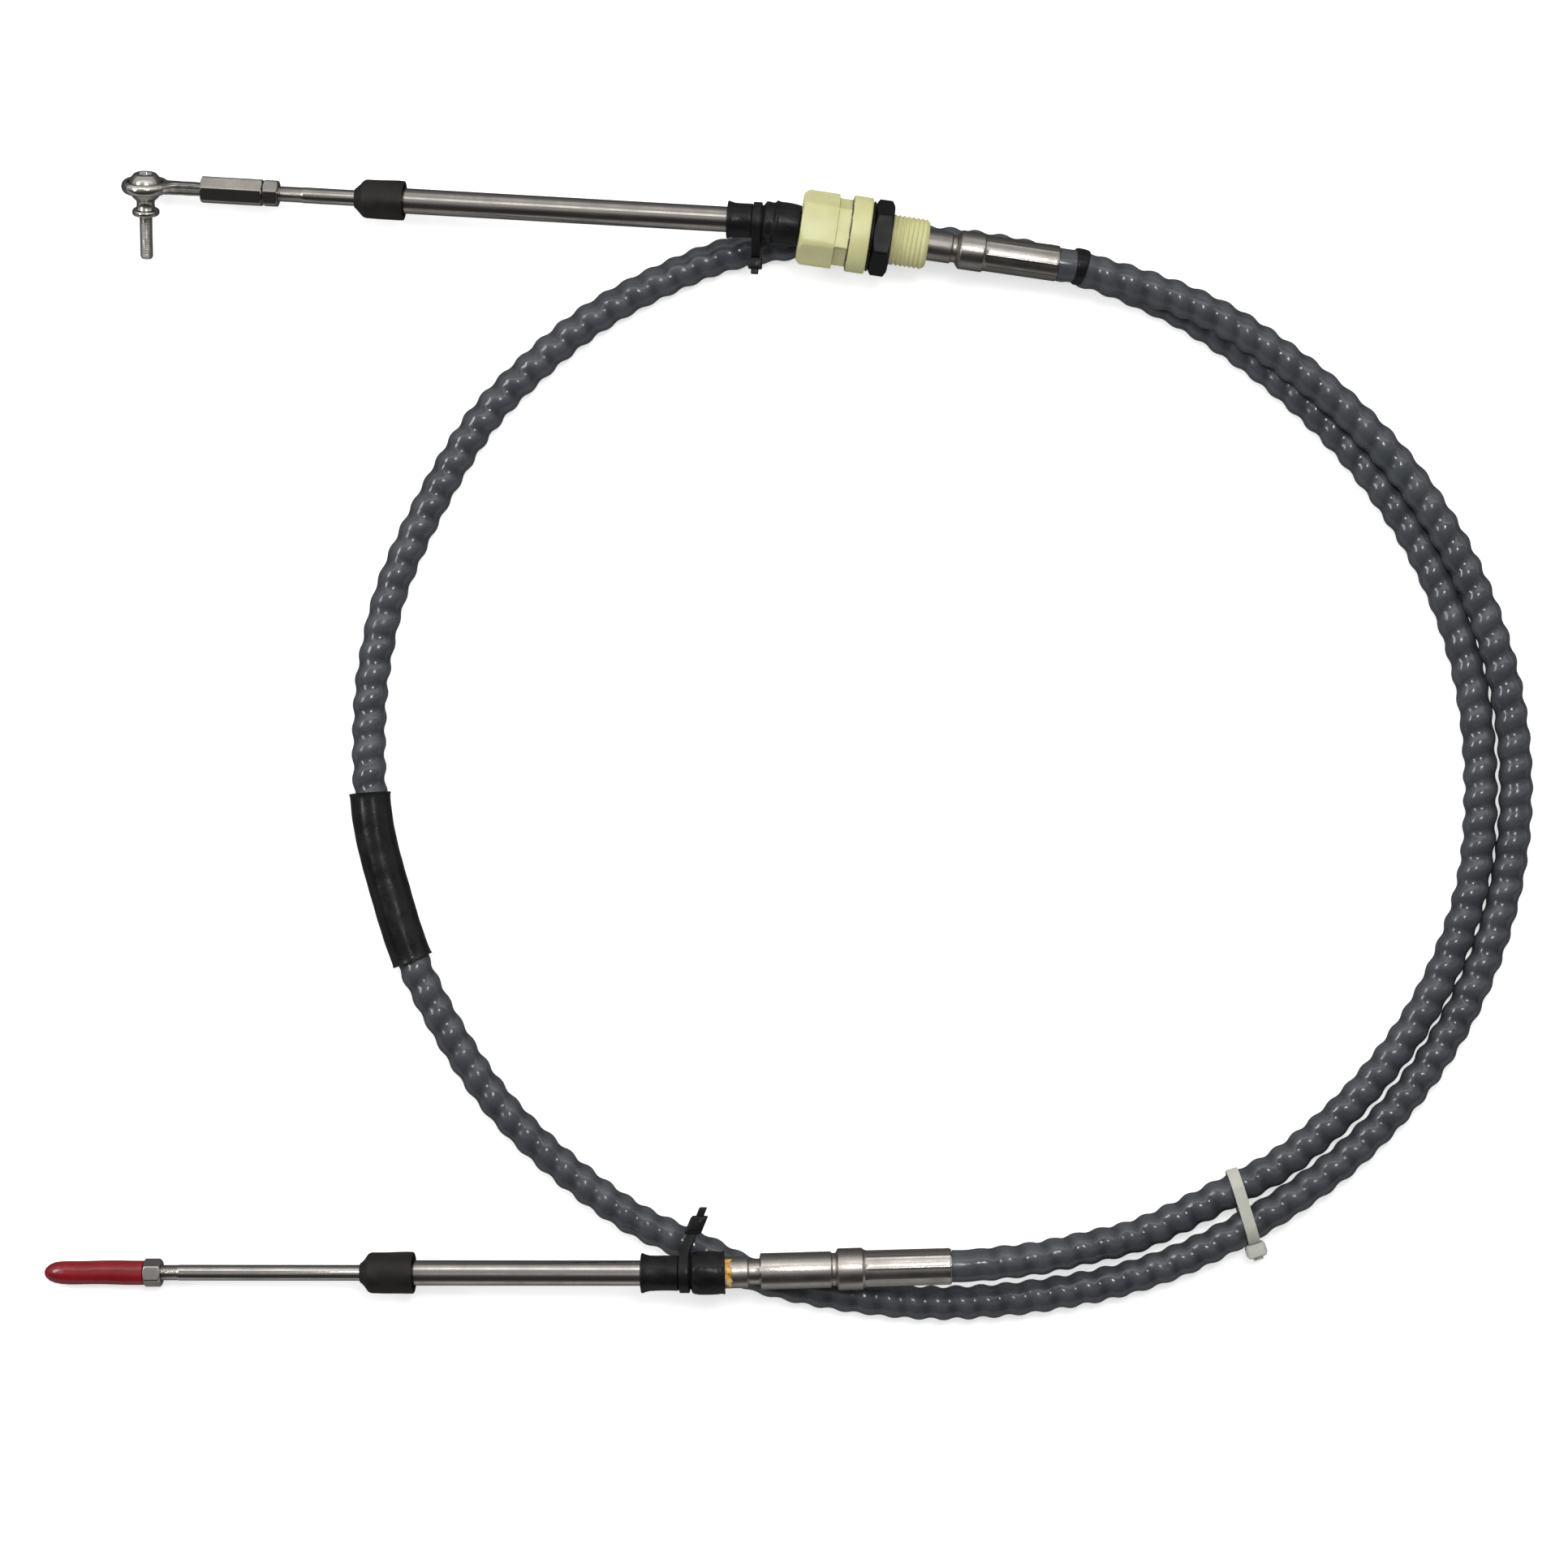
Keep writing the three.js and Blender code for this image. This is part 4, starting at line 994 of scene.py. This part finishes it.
def sheared(points, start, slope):
    out = np.array(points, float)
    out[:, 1] -= slope * np.maximum(0, out[:, 0] - start)
    return out


def put_tie(name, parts, axes, node_name, slope=0.0):
    points, faces = joined(*parts)
    if slope:
        points = sheared(points, 11, slope)
    obj = piece(name, placed(points, axes), faces, tie_mat, 40)
    bend_with_swivel(obj, node_name)


put_tie("tie_upper", [
    strap_loop((0, 0, 8.2), (-15.2, -3.2, 1.4), 1.3, 4.2, 6.8),
    rounded_box((-23.4, 3.3, -5.8), (-17.8, 10.3, -0.9), 0.9),
    rounded_box((-22.6, 4.6, -1.4), (-19.0, 9.0, -0.4), 0.45),
    rounded_box((-26.0, 4.9, -4.1), (-22.8, 8.7, -2.6), 0.6),
], UPPER_TUBE, "upper_boot_tie")
put_tie("tie_lower", [
    strap_loop((0, 0, 8.6), (17.4, -3.6, 1.4), 1.3, 4.8, 7.0),
    rounded_box((19.2, 2.6, -6.6), (28.2, 11.0, -1.2), 1.0),
    rounded_box((21.0, 4.0, -1.8), (26.6, 9.6, -0.7), 0.5),
    rounded_box((27.4, 4.8, -4.6), (32.6, 8.8, -3.0), 0.6),
], LOWER_TUBE, "lower_boot_tie", 0.42)


# Sealant left on the lower hub's neck beside the boot
def sealant():
    columns, rows = 60, 14
    near, far = 12.7, 16.3
    angle = np.linspace(math.radians(28), math.radians(150), columns)
    outer, inner = [], []
    for j in range(rows):
        v = j / (rows - 1)
        for a in angle:
            uneven = noise.noise(Vector((a * 2.3, 0.4, 7.1))) * 1.5
            uneven += noise.noise(Vector((a * 6.0, 2.2, 1.0))) * 0.8
            s = near + (far + uneven * 1.3 - near) * v
            swell = math.sin(math.pi * v) ** 0.6
            ends = min(1, (a - angle[0]) / 0.25, (angle[-1] - a) / 0.25)
            r = 8.02 + (0.38 + 0.16 * noise.noise(Vector((a * 5, v * 3, 4)))) * swell * max(0, ends)
            outer.append((r * math.cos(a), s, r * math.sin(a)))
            inner.append((7.9 * math.cos(a), s, 7.9 * math.sin(a)))
    faces = []
    base = columns * rows
    for j in range(rows - 1):
        for k in range(columns - 1):
            low, high = j * columns + k, (j + 1) * columns + k
            quad = (low, low + 1, high + 1, high)
            faces.append(quad)
            faces.append(tuple(base + i for i in reversed(quad)))
    rim = ([k for k in range(columns)] + [j * columns + columns - 1 for j in range(1, rows)]
           + [(rows - 1) * columns + k for k in range(columns - 2, -1, -1)]
           + [j * columns for j in range(rows - 2, 0, -1)])
    for i, k in enumerate(rim):
        m = rim[(i + 1) % len(rim)]
        faces.append((k, m, base + m, base + k))
    return np.array(outer + inner), faces


put("sealant", sealant(), LOWER_HUB, "cable", None, amber_mat, 60)


# Rod end and ball stud
def ball_stud():
    arc = ball_arc(EYE_BALL, -57, 45, 24)
    shank = [(STUD_RADIUS, s) for s in np.arange(-36.2, -14.7, 0.12)]
    outline = [
        (0, -37.2), (2.5, -37.2), (3.2, -36.4), *shank, (STUD_RADIUS, -14.6), (6.3, -14.6), (6.75, -14.1),
        (6.85, -13.2), (6.7, -12.2), (6.1, -11.75), (5.1, -11.5), (4.7, -10.6), (4.45, -9.2), *arc,
        (5.75, 6.3), (5.3, 6.5), (3.8, 6.5), (3.5, 6.2), (3.5, 1.4), (2.8, 1.2), (0, 1.2),
    ]

    def shape(radius, station, angle):
        turn = (station / 0.95 - angle / (2 * np.pi)) % 1.0
        inside = np.clip((station + 36.9) / 0.6, 0, 1) * np.clip((-15.3 - station) / 1.0, 0, 1)
        cut = 0.42 * np.abs(2 * turn - 1) * inside
        sector = math.pi / 3
        phi = (angle + sector / 2) % sector - sector / 2
        socket = 3.15 / np.cos(phi)
        key = (station > 1.3) & (radius < 3.9) & (radius > 2.9)
        out = np.where((station < -14.9) & (radius > 2.6), radius - cut, radius)
        return np.where(key, socket * radius / 3.5, out), station
    return turned(outline, 96, shape)


put("ball_and_stud", ball_stud(), BALL, "stud", "ball_stud", stud_mat, 50)


def rod_end():
    """Eye, shank and threaded stub, run together and smoothed like a forging."""
    ring = turned(round_corners([
        (9.25, -2.9), (10.0, -3.1), (11.0, -2.6), (11.8, -1.4), (12.05, 0), (11.8, 1.4),
        (11.0, 2.6), (10.0, 3.1), (9.25, 2.9), (8.95, 1.6), (8.85, 0), (8.95, -1.6),
    ], 0.3, 2), 96)
    rows = []
    sides = 40
    power = 0.45
    for x in np.arange(-9.6, -30.5, -0.6):
        t = (-9.6 - x) / 20.0
        near = math.exp(-((-9.6 - x) / 3.6) ** 2)
        half_z = 3.7 + 3.2 * near + 0.05 * math.sin(x * 1.1)
        half_y = 3.15 - 0.55 * near + 0.04 * math.sin(x * 0.8 + 1)
        half_z = half_z * (1 - 0.1 * t)
        row = []
        for k in range(sides):
            a = 2 * math.pi * k / sides
            c, s = math.cos(a), math.sin(a)
            groove = 1 - 0.16 * sum(math.exp(-((a - at) / 0.15) ** 2) for at in (0.12, 0.95, 6.4))
            row.append((x, groove * half_y * math.copysign(abs(s) ** power, s),
                        groove * half_z * math.copysign(abs(c) ** power, c)))
        rows.append(row)
    points = np.array(rows).reshape(-1, 3)
    faces = ring_faces(len(rows), sides, False)
    faces.append(tuple(range(sides)))
    faces.append(tuple(range((len(rows) - 1) * sides, len(rows) * sides)))
    points = points * np.array([1, 1, -1])
    return joined(ring, (points, faces))


def forged(name, made, axes, mat, voxel):
    points, faces = made
    obj = piece(name, placed(points, axes), faces, mat, 0)
    remesh = obj.modifiers.new("weld", "REMESH")
    remesh.mode = "VOXEL"
    remesh.voxel_size = voxel * MM
    smooth = obj.modifiers.new("smooth", "SMOOTH")
    smooth.factor = 0.5
    smooth.iterations = 4
    graph = bpy.context.evaluated_depsgraph_get()
    baked = bpy.data.meshes.new_from_object(obj.evaluated_get(graph))
    obj.modifiers.clear()
    obj.data = baked
    baked.name = name
    baked.shade_smooth()
    if not baked.materials:
        baked.materials.append(mat)
    return obj


eye = forged("rod_end_eye", rod_end(), BALL, forged_mat, 0.28)
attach(eye, "upper_ram")
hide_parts("rod_end")


# Floor, world and lights: the floor is in metres, and shines a little so that it looks white
def make_floor():
    mesh = bpy.data.meshes.new("floor")
    corners = [(x * FLOOR_HALF, y * FLOOR_HALF, FLOOR_HEIGHT)
               for x, y in ((-1, -1), (1, -1), (1, 1), (-1, 1))]
    mesh.from_pydata(corners, [], [(0, 1, 2, 3)])
    mat, _, bsdf = shader("floor_white")
    bsdf.inputs["Base Color"].default_value = (0.6, 0.6, 0.6, 1)
    bsdf.inputs["Roughness"].default_value = 0.9
    bsdf.inputs["Specular IOR Level"].default_value = 0.0
    bsdf.inputs["Emission Color"].default_value = (1, 1, 1, 1)
    bsdf.inputs["Emission Strength"].default_value = 0.62
    mesh.materials.append(mat)
    made = bpy.data.objects.new("floor", mesh)
    bpy.context.scene.collection.objects.link(made)
    made.visible_glossy = False


make_floor()


def area_light(name, place, target, size, power, colour=(1, 1, 1)):
    data = bpy.data.lights.new(name, "AREA")
    data.shape = "RECTANGLE"
    data.size, data.size_y = size
    data.energy = power
    data.color = colour
    made = bpy.data.objects.new(name, data)
    made.location = place
    aim = Vector(target) - Vector(place)
    made.rotation_euler = aim.to_track_quat("-Z", "Y").to_euler()
    bpy.context.scene.collection.objects.link(made)
    return made


# The key gives the soft light; the panel and the two lamps make the highlights
key = area_light("key", (0.1, 0.55, 1.9), (0.1, 0.0, 0.0), (1.6, 1.2), 24)
key.visible_glossy = False
area_light("panel", (0.1, 0.66, 0.95), (0.1, 0.0, 0.0), (2.6, 0.30), 3.8)
area_light("left_lamp", (-1.5, 0.3, 1.4), (0.1, 0.0, 0.0), (0.9, 0.24), 13)
area_light("right_lamp", (0.35, 0.45, 2.1), (0.2, 0.0, 0.0), (0.30, 0.30), 10)

world = bpy.data.worlds.new("studio")
bpy.context.scene.world = world
world.use_nodes = True
sky = world.node_tree
background = sky.nodes["Background"]
direction = node(sky, "ShaderNodeTexCoord").outputs["Generated"]
parts = node(sky, "ShaderNodeSeparateXYZ")
sky.links.new(direction, parts.inputs["Vector"])
tilt = math_node(sky, "ARCTAN2", parts.outputs["Y"], parts.outputs["Z"])
# Brightness of the room round the cables' length: degrees from straight up toward the back, and grey
ROOM = [
    (-180, 0.10), (-140, 0.12), (-110, 0.34), (-92, 0.52), (-83, 0.46), (-73, 0.06), (-50, 0.04),
    (-28, 0.05), (-12, 0.24), (-3, 0.54), (6, 0.42), (14, 0.34), (30, 0.48), (46, 0.70), (60, 0.90),
    (70, 0.80), (82, 0.30), (105, 0.18), (135, 0.09), (180, 0.10),
]
sky.links.new(ramp(sky, remap(sky, tilt, -math.pi, math.pi, 0, 1),
                   [((angle + 180) / 360, grey(value)) for angle, value in ROOM]),
              background.inputs["Color"])
background.inputs["Strength"].default_value = 1.0
